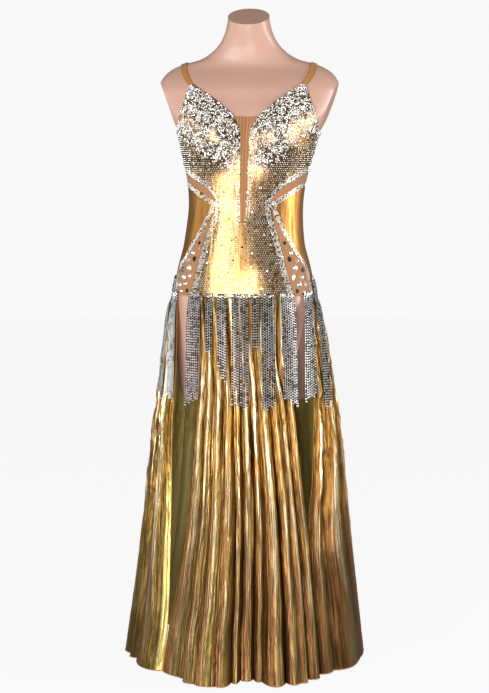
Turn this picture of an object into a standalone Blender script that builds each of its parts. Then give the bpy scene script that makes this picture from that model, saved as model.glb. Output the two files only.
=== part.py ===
"""Floor-length sleeveless stage dress with chain fringe, on a limbless dress form and its stand.

Metres, +Z up. The front faces -Y and +X is on the viewer's right, so "left" and "right" are the
viewer's. The origin is the centre of the stand's underside. Every cloth piece is an open surface
laid a set distance outside the general figure below, or along the skirt's outline, and thickened.
Run it with: blender --background --python part.py
"""

import math
from collections import namedtuple

import bmesh
import bpy
import numpy as np
from mathutils import Matrix, Vector

# Heights above the floor
HEM_HEIGHT = 0.006
HIP_LINE = 0.845
UNDERARM = 1.208
STRAP_POINT = 1.310
FORM_FOOT = 0.606
FORM_TOP = 1.515

# Cloth
CLOTH_GAP = 0.0023
CLOTH_WALL = 0.0015
SKIRT_WALL = 0.0012
SEAM_GAP = 0.0003
SEAM_MARGIN = 0.00027
STRAP_WIDTH = 0.0125
SEAM_ALLOWANCE = 0.006

# Edges sharper than this stay crisp where faces are shaded smooth
SHARP_ANGLE = math.radians(40)
MERGE_DISTANCE = 0.00001

# Stand
BASE_RADIUS = 0.150
BASE_THICKNESS = 0.009
BASE_ROUNDING = 0.002
POLE_RADIUS = 0.0125

# Chain fringe
CHAIN_PITCH = 0.0050
CHAIN_MARGIN = 0.0009
CHAIN_STAGGER = 0.006
STRIP_DEPTH = 0.0034
STRIP_HEIGHT = 0.0055
STRIP_LIFT = 0.0004
STRIP_RISE = 0.001
CHAIN_CLEARANCE = 0.0052

Section = namedtuple("Section", "height half_width middle front back square")
Edge = namedtuple("Edge", "height across")
Fold = namedtuple("Fold", "hip_share hem_share inset depth")
Cluster = namedtuple("Cluster", "name degrees chains root length slant spread")
Stone = namedtuple("Stone", "height share radius")
Sway = namedtuple("Sway", "height shift")

# The general figure: middle is the y of each section's widest point, and front and back are its
# depths ahead of and behind that. square is the power of the oval, 2 for an ellipse.
FIGURE_ROWS = [
    Section(0.606, 0.150, 0.004, 0.086, 0.088, 2.2),
    Section(0.680, 0.157, 0.004, 0.096, 0.100, 2.2),
    Section(0.760, 0.162, 0.006, 0.108, 0.114, 2.2),
    Section(0.820, 0.162, 0.006, 0.114, 0.116, 2.2),
    Section(0.852, 0.158, 0.004, 0.113, 0.112, 2.2),
    Section(0.907, 0.147, 0.000, 0.110, 0.104, 2.2),
    Section(0.963, 0.133, -0.002, 0.102, 0.090, 2.2),
    Section(1.045, 0.126, -0.004, 0.090, 0.078, 2.2),
    Section(1.087, 0.129, -0.002, 0.091, 0.081, 2.2),
    Section(1.128, 0.137, 0.000, 0.095, 0.087, 2.25),
    Section(1.170, 0.148, 0.000, 0.099, 0.094, 2.3),
    Section(1.205, 0.157, 0.000, 0.099, 0.099, 2.3),
    Section(1.222, 0.1675, 0.000, 0.097, 0.101, 2.3),
    Section(1.242, 0.182, 0.002, 0.095, 0.101, 2.3),
    Section(1.262, 0.193, 0.004, 0.091, 0.100, 2.3),
    Section(1.285, 0.202, 0.008, 0.086, 0.096, 2.3),
    Section(1.302, 0.205, 0.010, 0.082, 0.093, 2.3),
    Section(1.320, 0.202, 0.012, 0.073, 0.087, 2.25),
    Section(1.336, 0.193, 0.014, 0.062, 0.079, 2.2),
    Section(1.350, 0.177, 0.016, 0.052, 0.069, 2.1),
    Section(1.362, 0.150, 0.014, 0.045, 0.060, 2.0),
    Section(1.372, 0.112, 0.012, 0.043, 0.053, 2.0),
    Section(1.393, 0.079, 0.008, 0.043, 0.047, 2.0),
    Section(1.415, 0.061, 0.002, 0.045, 0.044, 2.0),
    Section(1.439, 0.051, -0.006, 0.046, 0.043, 2.0),
    Section(1.464, 0.0465, -0.014, 0.046, 0.043, 2.0),
    Section(1.515, 0.0460, -0.030, 0.046, 0.043, 2.0),
]
# The cups' fullness over the figure. The form fills only a share of it, and the padded cups the rest.
FORM_CUP_SHARE = 0.90
CUP_ACROSS = 0.078
CUP_HEIGHT = 1.196
CUP_DEPTH = 0.036
CUP_SPREAD = 0.050
CUP_RISE = 0.060
CUP_FALL = 0.046

# Where the form ends flat: each shoulder cut leans in towards the underarm, and the neck cut forward
SHOULDER_TIP = Vector((0.1995, 0.0, 1.318))
SHOULDER_CUT_NORMAL = Vector((1.0, -0.08, -0.360))
SHOULDER_CUT_FOOT = 1.203
NECK_CUT_CENTRE = Vector((0.0, -0.020, 1.4635))
NECK_CUT_NORMAL = Vector((0.0, -0.49, 0.87))
NECK_CUT_FOOT = 1.420

# The form's columns, in degrees from the front, and its rows, closest together where it curves most
FORM_DEGREES = [0, 8, 16, 24, 32, 40, 48, 56, 65, 76, 90, 104, 118, 131, 144, 156, 168, 180]
FORM_HEIGHTS = [
    FORM_FOOT, 0.612, 0.670, 0.740, 0.800, 0.850, 0.895, 0.940, 0.980, 1.020, 1.055, 1.085, 1.107, 1.125,
    1.142, 1.157, 1.172, 1.187, 1.204, 1.218, 1.230, 1.245, 1.262, 1.283, 1.302, 1.320, 1.336, 1.350, 1.360,
    1.367, 1.374, 1.385, 1.400, 1.422, 1.450, FORM_TOP,
]
# How far the lowest row draws in, for the form's rounded lower edge
FOOT_TAPER = 0.95

# The skirt's outline over its folds' crests; its first row is the cloth round the hip line
SKIRT_ROWS = [
    Section(0.820, 0.1700, 0.006, 0.123, 0.124, 2.2),
    Section(0.737, 0.1865, 0.006, 0.143, 0.145, 2.1),
    Section(0.627, 0.2040, 0.008, 0.164, 0.166, 2.0),
    Section(0.517, 0.2190, 0.010, 0.186, 0.184, 2.0),
    Section(0.296, 0.2415, 0.014, 0.220, 0.214, 2.0),
    Section(0.130, 0.2590, 0.018, 0.258, 0.240, 2.0),
    Section(HEM_HEIGHT, 0.2725, 0.022, 0.296, 0.264, 2.0),
]
FOLD_DEPTH = 0.026
FOLD_GROWTH = 0.70
FOLD_ROUNDNESS = 0.70
LEFT_FLARE = 0.013

# Edges of the pieces on the viewer's right, as distances across from the centre line. AT_SIDE is past
# the widest point of every section, so an edge there lies on the side seam.
AT_SIDE = 1.0
PLUNGE_EDGE = [Edge(0.999, 0.0), Edge(1.004, 0.0013), Edge(1.030, 0.0050), Edge(1.083, 0.0068),
               Edge(1.150, 0.0100), Edge(1.208, 0.0127), Edge(1.239, 0.0270)]
NECKLINE = [Edge(1.239, 0.0270), Edge(1.258, 0.0468), Edge(1.284, 0.0780), Edge(STRAP_POINT, 0.1165)]
ARMHOLE = [Edge(1.222, 0.1545), Edge(1.2455, 0.1495), Edge(1.274, 0.1400), Edge(STRAP_POINT, 0.1290)]
BACK_ARMHOLE = [Edge(1.222, 0.1510), Edge(1.258, 0.1380), Edge(1.284, 0.1200), Edge(1.300, 0.1075)]
BACK_NECKLINE = [Edge(UNDERARM, 0.0), Edge(1.213, 0.0260), Edge(1.222, 0.0420), Edge(1.239, 0.0610),
                 Edge(1.258, 0.0750), Edge(1.284, 0.0880), Edge(1.300, 0.0947)]
HIP_INSERT_INNER = [Edge(HIP_LINE, 0.1160), Edge(0.892, 0.1020), Edge(0.927, 0.0930), Edge(0.985, 0.0770),
                    Edge(1.032, 0.0610)]
HIP_INSERT_OUTER = [Edge(HIP_LINE, 0.1480), Edge(0.892, 0.1400), Edge(0.914, 0.1330), Edge(0.935, 0.1180),
                    Edge(0.960, 0.1035), Edge(0.985, 0.0870), Edge(1.032, 0.0640)]
WAIST_INSERT_LOWER = [Edge(1.055, 0.0610), Edge(1.066, 0.0790), Edge(1.080, 0.1010), Edge(1.096, 0.1220),
                      Edge(1.101, 0.1290), Edge(1.105, AT_SIDE)]
WAIST_INSERT_UPPER = [Edge(1.061, 0.0610), Edge(1.083, 0.0790), Edge(1.099, 0.1010), Edge(1.112, 0.1220),
                      Edge(1.117, 0.1300), Edge(1.1225, AT_SIDE)]
# The slits differ: the left one narrows down to the hem, and the right one closes above it
FRONT_LEFT_EDGE = [Edge(HEM_HEIGHT, 0.1985), Edge(0.106, 0.1840), Edge(0.170, 0.1690), Edge(0.234, 0.1590),
                   Edge(0.319, 0.1430), Edge(0.446, 0.1262), Edge(0.561, 0.1140), Edge(0.630, 0.1050),
                   Edge(0.720, 0.0975), Edge(HIP_LINE, 0.0950)]
SIDE_LEFT_EDGE = [Edge(HEM_HEIGHT, 0.2022), Edge(0.108, 0.2028), Edge(0.231, 0.1981), Edge(0.314, 0.1932),
                  Edge(0.441, 0.1830), Edge(0.555, 0.1770), Edge(0.609, 0.1692), Edge(0.720, 0.1580),
                  Edge(HIP_LINE, 0.1500)]
FRONT_RIGHT_EDGE = [Edge(HEM_HEIGHT, 0.1935), Edge(0.195, 0.1725), Edge(0.278, 0.1625), Edge(0.364, 0.1517),
                    Edge(0.491, 0.1350), Edge(0.616, 0.1180), Edge(0.720, 0.0985), Edge(HIP_LINE, 0.0950)]
SIDE_RIGHT_EDGE = [Edge(HEM_HEIGHT, 0.1975), Edge(0.195, 0.1768), Edge(0.278, 0.1680), Edge(0.364, 0.1668),
                   Edge(0.427, 0.1725), Edge(0.491, 0.1735), Edge(0.616, 0.1720), Edge(0.720, 0.1600),
                   Edge(HIP_LINE, 0.1500)]

SIDE_SEAM = math.radians(90)
BACK_STRAP_ACROSS = 0.1010
STRAP_BOW = 0.033
BOW_ROUNDNESS = 0.8
STRAP_LIFT = 0.0009
STRAP_STEPS = 18
STRAP_AXIS_Y = 0.012
STRAP_AXIS_HEIGHT = 1.250
# Rays from the strap's axis are this long, and are halved this often to find the shoulder
RAY_REACH = 0.25
RAY_HALVINGS = 40
# Heights of the rows that the bodice's panels share, so that their edges match along each seam
LOW_ROWS = [HIP_LINE, 0.868, 0.892, 0.914, 0.935, 0.960, 0.985, 0.999, 1.004, 1.015, 1.032, 1.045]
BACK_LOW_ROWS = [HIP_LINE, 0.885, 0.925, 0.960, 0.990, 1.020, 1.045, 1.070, 1.095, 1.116]
HIGH_ROWS = [1.135, 1.150, 1.165, 1.180, 1.195, UNDERARM, 1.213, 1.222, 1.230, 1.239, 1.258, 1.284, STRAP_POINT]

# One row for each fold: its share of the hip line, its share of the hem, how far its crest stays behind
# the skirt's outline at the hem, and how deep the valley after it still is there. Folds with a shallow
# valley between them have run together by the hem.
FRONT_FOLDS = [
    Fold(7, 18.0, 0.030, 0.25), Fold(9, 9.0, 0.006, 0.10), Fold(9, 9.0, 0.000, 0.05), Fold(9, 8.0, 0.004, 1.00),
    Fold(9, 4.5, 0.034, 0.80), Fold(10, 9.0, 0.052, 1.00), Fold(9, 4.5, 0.044, 0.90), Fold(10, 12.0, 0.004, 1.00),
    Fold(9, 6.0, 0.002, 0.15), Fold(9, 6.0, 0.004, 1.00), Fold(10, 9.5, 0.010, 1.00),
]
# From the right slit round the back to the left one
BACK_FOLDS = [
    Fold(5, 10, 0.020, 0.60), Fold(9, 24, 0.000, 0.10), Fold(9, 26, 0.000, 0.20), Fold(11, 22, 0.000, 1.00),
    Fold(13, 16, 0.006, 1.00), Fold(12, 9, 0.012, 1.00), Fold(13, 15, 0.001, 1.00), Fold(12, 8, 0.010, 1.00),
    Fold(13, 16, 0.000, 1.00), Fold(12, 10, 0.008, 1.00), Fold(13, 15, 0.002, 1.00), Fold(12, 8, 0.010, 1.00),
    Fold(13, 16, 0.000, 1.00), Fold(12, 9, 0.012, 1.00), Fold(13, 15, 0.001, 1.00), Fold(12, 8, 0.008, 1.00),
    Fold(12, 15, 0.000, 0.80), Fold(8, 6, 0.008, 0.60), Fold(12, 24, 0.010, 1.00),
]
FOLD_STOPS = [0.0, 0.22, 0.5, 0.78]
SKIRT_STEPS = [0.0, 0.008, 0.045, 0.11, 0.21, 0.35, 0.53, 0.73, 0.88, 1.0]

# degrees is the cluster's middle, counted round the hip from the front, root is its height and length
# is how far its longest chain hangs. slant is how much shorter the chain at one end is: the right end
# where it is above 0. spread is how far its chains follow the skirt outwards, at the side seam.
CLUSTERS = [
    Cluster("left_back", -86.0, 4, 0.878, 0.273, 0.020, 0.65),
    Cluster("left_side", -68.5, 5, HIP_LINE, 0.236, 0.012, 0.45),
    Cluster("left_slit", -38.0, 7, HIP_LINE, 0.240, -0.016, 1.0),
    Cluster("left_front", -23.5, 3, HIP_LINE, 0.130, 0.010, 1.0),
    Cluster("left_centre", -13.2, 4, HIP_LINE, 0.190, 0.040, 1.0),
    Cluster("centre", -0.8, 6, HIP_LINE, 0.246, 0.012, 1.0),
    Cluster("right_centre", 9.2, 3, HIP_LINE, 0.120, -0.012, 1.0),
    Cluster("right_front", 19.3, 6, HIP_LINE, 0.250, -0.014, 1.0),
    Cluster("right_slit", 36.5, 7, HIP_LINE, 0.240, 0.018, 1.0),
    Cluster("right_side", 62.5, 6, HIP_LINE, 0.232, -0.012, 0.30),
    Cluster("right_back", 81.5, 5, 0.878, 0.292, -0.020, 0.65),
]
CHAIN_STEPS = [0.10, 0.30, 0.60, 1.0]

# Large stones on each hip insert: their height, share of the insert's width and radius
HIP_STONES = [
    Stone(0.953, 0.50, 0.0042), Stone(0.937, 0.36, 0.0046), Stone(0.926, 0.70, 0.0056), Stone(0.912, 0.30, 0.0050),
    Stone(0.906, 0.66, 0.0066), Stone(0.889, 0.34, 0.0062), Stone(0.884, 0.76, 0.0056), Stone(0.868, 0.52, 0.0070),
    Stone(0.857, 0.18, 0.0034),
]
STONE_HEIGHT = 0.0026
STONE_SINK = 0.0008
STONE_TABLE = 0.55
STONE_SIDES = 8

# How far the form sways from upright: its hips to the viewer's left and its shoulders to the right
SWAY = [Sway(HEM_HEIGHT, 0.0), Sway(0.400, 0.0), Sway(0.700, -0.002), Sway(0.880, -0.005), Sway(0.950, -0.005),
        Sway(1.050, -0.001), Sway(1.150, 0.002), Sway(1.260, 0.006), Sway(1.350, 0.005), Sway(FORM_TOP, 0.006)]

MaterialSpec = namedtuple("MaterialSpec", "color metallic roughness")
FOIL_STRETCH = MaterialSpec((0.62, 0.33, 0.07), 1.0, 0.28)
LAME = MaterialSpec((0.50, 0.33, 0.10), 0.9, 0.33)
TAN_MESH = MaterialSpec((0.55, 0.29, 0.14), 0.0, 0.70)
TAN_ELASTIC = MaterialSpec((0.58, 0.30, 0.10), 0.0, 0.55)
STONE_CHAIN = MaterialSpec((0.80, 0.80, 0.80), 1.0, 0.15)
FORM_PLASTIC = MaterialSpec((0.76, 0.53, 0.45), 0.0, 0.30)
STAND_STEEL = MaterialSpec((0.75, 0.75, 0.74), 1.0, 0.30)


class Profile:
    """A table of rows by height, read at any height on smooth curves that never overshoot its rows."""

    def __init__(self, rows):
        rows = sorted(rows)
        self.kind = type(rows[0])
        self.heights = np.array([row[0] for row in rows])
        self.values = np.array([row[1:] for row in rows])
        self.slopes = self.row_slopes()

    def row_slopes(self):
        steps = np.diff(self.heights)[:, None]
        between = np.diff(self.values, axis=0) / steps
        slopes = np.zeros_like(self.values)
        slopes[0] = between[0]
        slopes[-1] = between[-1]
        before = 2 * steps[1:] + steps[:-1]
        after = steps[1:] + 2 * steps[:-1]
        same_way = between[:-1] * between[1:] > 0
        safe_low = np.where(same_way, between[:-1], 1)
        safe_high = np.where(same_way, between[1:], 1)
        mean = (before + after) / (before / safe_low + after / safe_high)
        slopes[1:-1] = np.where(same_way, mean, 0)
        return slopes

    def at(self, height):
        height = min(max(height, self.heights[0]), self.heights[-1])
        row = int(np.clip(np.searchsorted(self.heights, height) - 1, 0, len(self.heights) - 2))
        step = self.heights[row + 1] - self.heights[row]
        t = (height - self.heights[row]) / step
        value = (
            self.values[row] * (1 + 2 * t) * (1 - t) ** 2
            + self.slopes[row] * step * t * (1 - t) ** 2
            + self.values[row + 1] * t * t * (3 - 2 * t)
            + self.slopes[row + 1] * step * t * t * (t - 1)
        )
        return self.kind(height, *value.tolist())


FIGURE = Profile(FIGURE_ROWS)


def hip_rows():
    """The skirt's outline at the hip line, upright for a seam's width where it continues the bodice."""
    hip = FIGURE.at(HIP_LINE)
    hip = hip._replace(
        half_width=hip.half_width + CLOTH_GAP, front=hip.front + CLOTH_GAP, back=hip.back + CLOTH_GAP
    )
    return [hip, hip._replace(height=HIP_LINE - SEAM_ALLOWANCE)]


SKIRT = Profile(SKIRT_ROWS + hip_rows())
LEAN = Profile(SWAY)


def signed_power(value, power):
    return math.copysign(abs(value) ** power, value)


def oval_point(angle, section):
    """Point of an oval section. Angles start at the front and grow towards +X."""
    forward = math.cos(angle)
    depth = section.front if forward > 0 else section.back
    return Vector((
        section.half_width * signed_power(math.sin(angle), 2 / section.square),
        section.middle - depth * signed_power(forward, 2 / section.square),
        section.height,
    ))


def angle_at(across, section, behind=False):
    """Angle of the point that lies this far across on a section's front, or on its back."""
    share = min(1.0, abs(across) / section.half_width)
    angle = math.asin(share ** (section.square / 2))
    if behind:
        angle = math.pi - angle
    return math.copysign(angle, across)


def cup_fullness(across, height):
    """How far the two cups stand ahead of the plain figure."""
    spread = CUP_RISE if height > CUP_HEIGHT else CUP_FALL
    sideways = (abs(across) - CUP_ACROSS) / CUP_SPREAD
    upwards = (height - CUP_HEIGHT) / spread
    return CUP_DEPTH * math.exp(-sideways * sideways - upwards * upwards)


def figure_point(angle, height, cup_share=1.0):
    point = oval_point(angle, FIGURE.at(height))
    forward = math.cos(angle)
    if forward > 0:
        point.y -= cup_fullness(point.x, height) * forward * cup_share
    return point


def on_figure(angle, height, out):
    """Point a distance outside the figure's surface, along its normal."""
    turn = 0.01
    rise = 0.002
    across = figure_point(angle + turn, height) - figure_point(angle - turn, height)
    upwards = figure_point(angle, height + rise) - figure_point(angle, height - rise)
    return figure_point(angle, height) + across.cross(upwards).normalized() * out


def edge_angle(edge, behind=False):
    """A function from height to the angle of an edge that a table gives as distances across."""
    profile = Profile(edge)

    def angle(height):
        return angle_at(profile.at(height).across, FIGURE.at(height), behind)

    return angle


def between(low, high, share):
    return low + (high - low) * share


def make_material(name, spec):
    material = bpy.data.materials.new(name)
    material.use_nodes = True
    shader = material.node_tree.nodes["Principled BSDF"]
    shader.inputs["Base Color"].default_value = (*spec.color, 1)
    shader.inputs["Metallic"].default_value = spec.metallic
    shader.inputs["Roughness"].default_value = spec.roughness
    return material


def sway(bm):
    """Shifts each point sideways with the form's sway. The tables above are all drawn upright."""
    for corner in bm.verts:
        corner.co.x += LEAN.at(corner.co.z).shift


def add_object(name, bm, spec, smooth=True, sways=True):
    """Turns a bmesh into a named object with its own material."""
    if sways:
        sway(bm)
    mesh = bpy.data.meshes.new(name)
    bm.to_mesh(mesh)
    bm.free()
    mesh.materials.append(make_material(name + "_finish", spec))
    if smooth:
        mesh.shade_smooth()
        mesh.set_sharp_from_angle(angle=SHARP_ANGLE)
    part = bpy.data.objects.new(name, mesh)
    PARTS.objects.link(part)
    return part


def grid_surface(point_at, columns, rows):
    """A grid whose corner (column, row) is moved to point_at(column value, row value)."""
    bm = bmesh.new()
    bmesh.ops.create_grid(bm, x_segments=len(columns) - 1, y_segments=len(rows) - 1, size=0.5)
    for corner in bm.verts:
        column = columns[round((corner.co.x + 0.5) * (len(columns) - 1))]
        row = rows[round((corner.co.y + 0.5) * (len(rows) - 1))]
        corner.co = point_at(column, row)
    return bm


def add_cloth(name, bm, wall, spec):
    """Cloth: an open surface thickened outwards."""
    part = add_object(name, bm, spec)
    shell = part.modifiers.new("wall", "SOLIDIFY")
    shell.thickness = wall
    shell.offset = 1
    shell.use_even_offset = True
    return part


def even(count):
    """Shares from 0 to 1 in count equal steps."""
    return [step / count for step in range(count + 1)]


def ruled_surface(low_edge, high_edge, heights, columns):
    """A grid on the figure, ruled across at each height from one edge's angle to the other's."""

    def point_at(share, height):
        return on_figure(between(low_edge(height), high_edge(height), share), height, CLOTH_GAP)

    return grid_surface(point_at, even(columns), heights)


def figure_panel(name, low_edge, high_edge, heights, columns, spec):
    bm = ruled_surface(low_edge, high_edge, heights, columns)
    return add_cloth(name, bm, CLOTH_WALL, spec)


def paired_panels(name, inner, outer, heights, columns, spec):
    """The same panel on the viewer's right and, mirrored, on the left."""
    right = figure_panel(name + "_right", inner, outer, heights, columns, spec)
    left = figure_panel(
        name + "_left", lambda height: -outer(height), lambda height: -inner(height), heights, columns, spec
    )
    return left, right


def seam_side(edge, towards):
    """An edge moved along the figure to leave its half of the seam's gap, away from the front for 1."""
    turn = 0.01

    def angle(height):
        here = edge(height)
        span = (figure_point(here + turn, height) - figure_point(here - turn, height)).length
        return here + towards * SEAM_MARGIN * 2 * turn / span

    return angle


def at_side_seam(_height):
    return SIDE_SEAM


def front_inner_edge():
    """Centre seam, then the plunge's edge, then the neckline."""
    plunge = edge_angle(PLUNGE_EDGE)
    neckline = edge_angle(NECKLINE)

    def angle(height):
        if height < PLUNGE_EDGE[0].height:
            return 0.0
        return plunge(height) if height < NECKLINE[0].height else neckline(height)

    return angle


def round_underarm(armhole_edge, behind=False):
    """Side seam, then the armhole's round lower end, then its edge."""
    armhole = edge_angle(armhole_edge, behind)
    start = armhole_edge[0].height

    def angle(height):
        if height < UNDERARM:
            return SIDE_SEAM
        if height < start:
            share = (height - UNDERARM) / (start - UNDERARM)
            return between(SIDE_SEAM, armhole(start), math.sqrt(share))
        return armhole(height)

    return angle


def front_outer_edge():
    """Hip insert, waist point, waist insert, side seam and then the armhole."""
    hip = edge_angle(HIP_INSERT_INNER)
    waist = edge_angle(WAIST_INSERT_UPPER)
    side = round_underarm(ARMHOLE)

    def angle(height):
        if height < WAIST_INSERT_UPPER[0].height:
            return hip(height)
        return waist(height) if height < WAIST_INSERT_UPPER[-1].height else side(height)

    return angle


def side_inner_edge():
    """Hip insert, waist point and waist insert, from below."""
    outer = edge_angle(HIP_INSERT_OUTER)
    inner = edge_angle(HIP_INSERT_INNER)
    waist = edge_angle(WAIST_INSERT_LOWER)

    def angle(height):
        if height < HIP_INSERT_OUTER[-1].height:
            return outer(height)
        return inner(height) if height < WAIST_INSERT_LOWER[0].height else waist(height)

    return angle


def make_bodice():
    waist_heights = [edge.height for edge in WAIST_INSERT_UPPER]
    paired_panels(
        "front", seam_side(front_inner_edge(), 1), seam_side(front_outer_edge(), -1),
        LOW_ROWS + waist_heights + HIGH_ROWS, 8, FOIL_STRETCH,
    )
    make_plunge_insert(waist_heights)
    make_waist_inserts()
    make_hip_inserts()
    # The side panel ends in a point at the side seam, just short of the waist insert's end
    side_heights = LOW_ROWS + [edge.height for edge in WAIST_INSERT_LOWER[:-1]]
    side_limit = seam_side(at_side_seam, -1)(HIP_LINE)
    paired_panels(
        "side", seam_side(side_inner_edge(), 1), lambda _height: side_limit, side_heights, 5, FOIL_STRETCH
    )
    make_back()
    for side, word in ((-1, "left"), (1, "right")):
        make_strap("strap_" + word, side)


def make_plunge_insert(waist_heights):
    """Mesh between the two fronts, with a straight top edge at the neckline."""
    first, last = PLUNGE_EDGE[1].height, PLUNGE_EDGE[-1].height
    heights = [height for height in LOW_ROWS + waist_heights + HIGH_ROWS if first <= height <= last]
    edge = seam_side(edge_angle(PLUNGE_EDGE), -1)
    figure_panel("plunge_insert", lambda height: -edge(height), edge, heights, 3, TAN_MESH)


def make_hip_inserts():
    inner, outer = edge_angle(HIP_INSERT_INNER), edge_angle(HIP_INSERT_OUTER)
    low, high = seam_side(inner, 1), seam_side(outer, -1)
    heights = [height for height in LOW_ROWS if height < HIP_INSERT_OUTER[-1].height]
    for panel, side in zip(paired_panels("hip_insert", low, high, heights, 3, TAN_MESH), (-1, 1)):
        fuse_stones(panel, side, low, high)


def make_waist_inserts():
    """Slanting mesh slits, a ladder between their lower and upper edges from the waist point outwards."""
    rungs = list(zip(WAIST_INSERT_LOWER, WAIST_INSERT_UPPER))

    def rung_point(side, rung, share):
        low, high = rung
        height = between(low.height + 1.5 * SEAM_GAP, high.height - 1.5 * SEAM_GAP, share)
        across = between(low.across, high.across, share)
        if rung is rungs[0]:
            across += SEAM_MARGIN
        angle = angle_at(side * across, FIGURE.at(height))
        if rung is rungs[-1]:
            angle -= side * SEAM_MARGIN / FIGURE.at(height).front
        return on_figure(angle, height, CLOTH_GAP)

    for side, word in ((-1, "left"), (1, "right")):
        columns = rungs[::side]
        bm = grid_surface(lambda rung, share: rung_point(side, rung, share), columns, even(2))
        add_cloth("waist_insert_" + word, bm, CLOTH_WALL, TAN_MESH)


def fuse_stones(panel, side, low_edge, high_edge):
    """Large faceted stones, raised on the outer face of a hip insert and joined to it."""
    cutters = bpy.data.collections["cutters"]
    bm = bmesh.new()
    for stone in HIP_STONES:
        angle = side * between(low_edge(stone.height), high_edge(stone.height), stone.share)
        foot = on_figure(angle, stone.height, CLOTH_GAP + CLOTH_WALL - STONE_SINK)
        top = on_figure(angle, stone.height, CLOTH_GAP + CLOTH_WALL + STONE_HEIGHT)
        turn = (top - foot).to_track_quat("Z", "Y").to_matrix().to_4x4()
        bmesh.ops.create_cone(
            bm, cap_ends=True, segments=STONE_SIDES, radius1=stone.radius, radius2=stone.radius * STONE_TABLE,
            depth=(top - foot).length, matrix=Matrix.Translation((top + foot) / 2) @ turn,
        )
    sway(bm)
    mesh = bpy.data.meshes.new(panel.name + "_stones")
    bm.to_mesh(mesh)
    bm.free()
    stones = bpy.data.objects.new(mesh.name, mesh)
    stones.hide_render = True
    stones.display_type = "WIRE"
    cutters.objects.link(stones)
    join = panel.modifiers.new("stones", "BOOLEAN")
    join.operation = "UNION"
    join.object = stones


def make_back():
    """Plain back, a half and its mirror image: a round dip at the centre, and a seat for each strap."""
    neckline = edge_angle(BACK_NECKLINE, behind=True)
    top = BACK_NECKLINE[-1].height
    side = seam_side(round_underarm(BACK_ARMHOLE, behind=True), 1)

    def inner(height):
        return math.pi if height <= UNDERARM else neckline(height)

    heights = BACK_LOW_ROWS + [height for height in HIGH_ROWS if height < top] + [top]
    bm = ruled_surface(side, inner, heights, 8)
    half = bm.verts[:] + bm.edges[:] + bm.faces[:]
    bmesh.ops.mirror(bm, geom=half, axis="X", merge_dist=MERGE_DISTANCE)
    bmesh.ops.recalc_face_normals(bm, faces=bm.faces)
    if max(bm.faces, key=lambda face: face.calc_center_median().y).normal.y < 0:
        bmesh.ops.reverse_faces(bm, faces=bm.faces)
    add_cloth("back", bm, CLOTH_WALL, FOIL_STRETCH)


def shoulder_point(across, tilt):
    """Point of the figure's shoulder on a ray that leans from level, ahead, over the top to the back."""
    axis = Vector((across, STRAP_AXIS_Y, STRAP_AXIS_HEIGHT))
    ray = Vector((0, -math.cos(tilt), math.sin(tilt)))
    low, high = 0.0, RAY_REACH
    for _ in range(RAY_HALVINGS):
        middle = (low + high) / 2
        point = axis + ray * middle
        low, high = (middle, high) if is_inside(point) else (low, middle)
    return axis + ray * low


def is_inside(point):
    section = FIGURE.at(point.z)
    depth = section.front if point.y < section.middle else section.back
    reach = (abs(point.x) / section.half_width) ** section.square
    return reach + (abs(point.y - section.middle) / depth) ** section.square < 1


def edge_point(across, height, behind):
    """Point of the figure at a height, this far across."""
    return figure_point(angle_at(across, FIGURE.at(height), behind), height)


def make_strap(name, side):
    """Elastic strap from a cup's point over the shoulder to the back's top edge."""
    front_height = STRAP_POINT + SEAM_GAP + STRAP_LIFT
    back_height = BACK_NECKLINE[-1].height + SEAM_GAP + STRAP_LIFT
    front_across = (NECKLINE[-1].across + ARMHOLE[-1].across) / 2
    ends = [edge_point(front_across, front_height, False), edge_point(BACK_STRAP_ACROSS, back_height, True)]
    tilts = [math.atan2(end.z - STRAP_AXIS_HEIGHT, STRAP_AXIS_Y - end.y) for end in ends]

    def middle_across(along):
        bow = math.sin(math.pi * along) ** BOW_ROUNDNESS
        return between(front_across, BACK_STRAP_ACROSS, along) + bow * STRAP_BOW

    def rest_point(along, place):
        across = middle_across(along) + place * STRAP_WIDTH / 2
        if along == 0:
            return edge_point(across, front_height, False)
        if along == 1:
            return edge_point(across, back_height, True)
        return shoulder_point(across, between(tilts[0], tilts[1], along))

    def point_at(along, place):
        step = 0.02
        ahead = rest_point(min(along + step, 0.999), place) - rest_point(max(along - step, 0.001), place)
        sideways = rest_point(along, place + 0.2) - rest_point(along, place - 0.2)
        out = sideways.cross(ahead).normalized()
        point = rest_point(along, place) + out * STRAP_LIFT
        return Vector((side * point.x, point.y, point.z))

    places = [-side, 0, side]
    bm = grid_surface(lambda place, along: point_at(along, place), places, even(STRAP_STEPS))
    add_cloth(name, bm, CLOTH_WALL, TAN_ELASTIC)


def skirt_point(angle, height, inward):
    """Point of the skirt at an angle, held back from its outline along the level normal."""
    section = SKIRT.at(height)
    forward = math.cos(angle)
    depth = section.front if forward > 0 else section.back
    normal = Vector((math.sin(angle) / section.half_width, -forward / depth, 0)).normalized()
    return oval_point(angle, section) - normal * inward


def skirt_angle(edge):
    profile = Profile(edge)

    def angle(height):
        return angle_at(profile.at(height).across, SKIRT.at(height))

    return angle


def fold_stops(folds):
    """Columns of a pleated panel: for each fold, its number and the share of its width."""
    return [(number, stop) for number in range(len(folds)) for stop in FOLD_STOPS] + [(len(folds) - 1, 1.0)]


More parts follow.
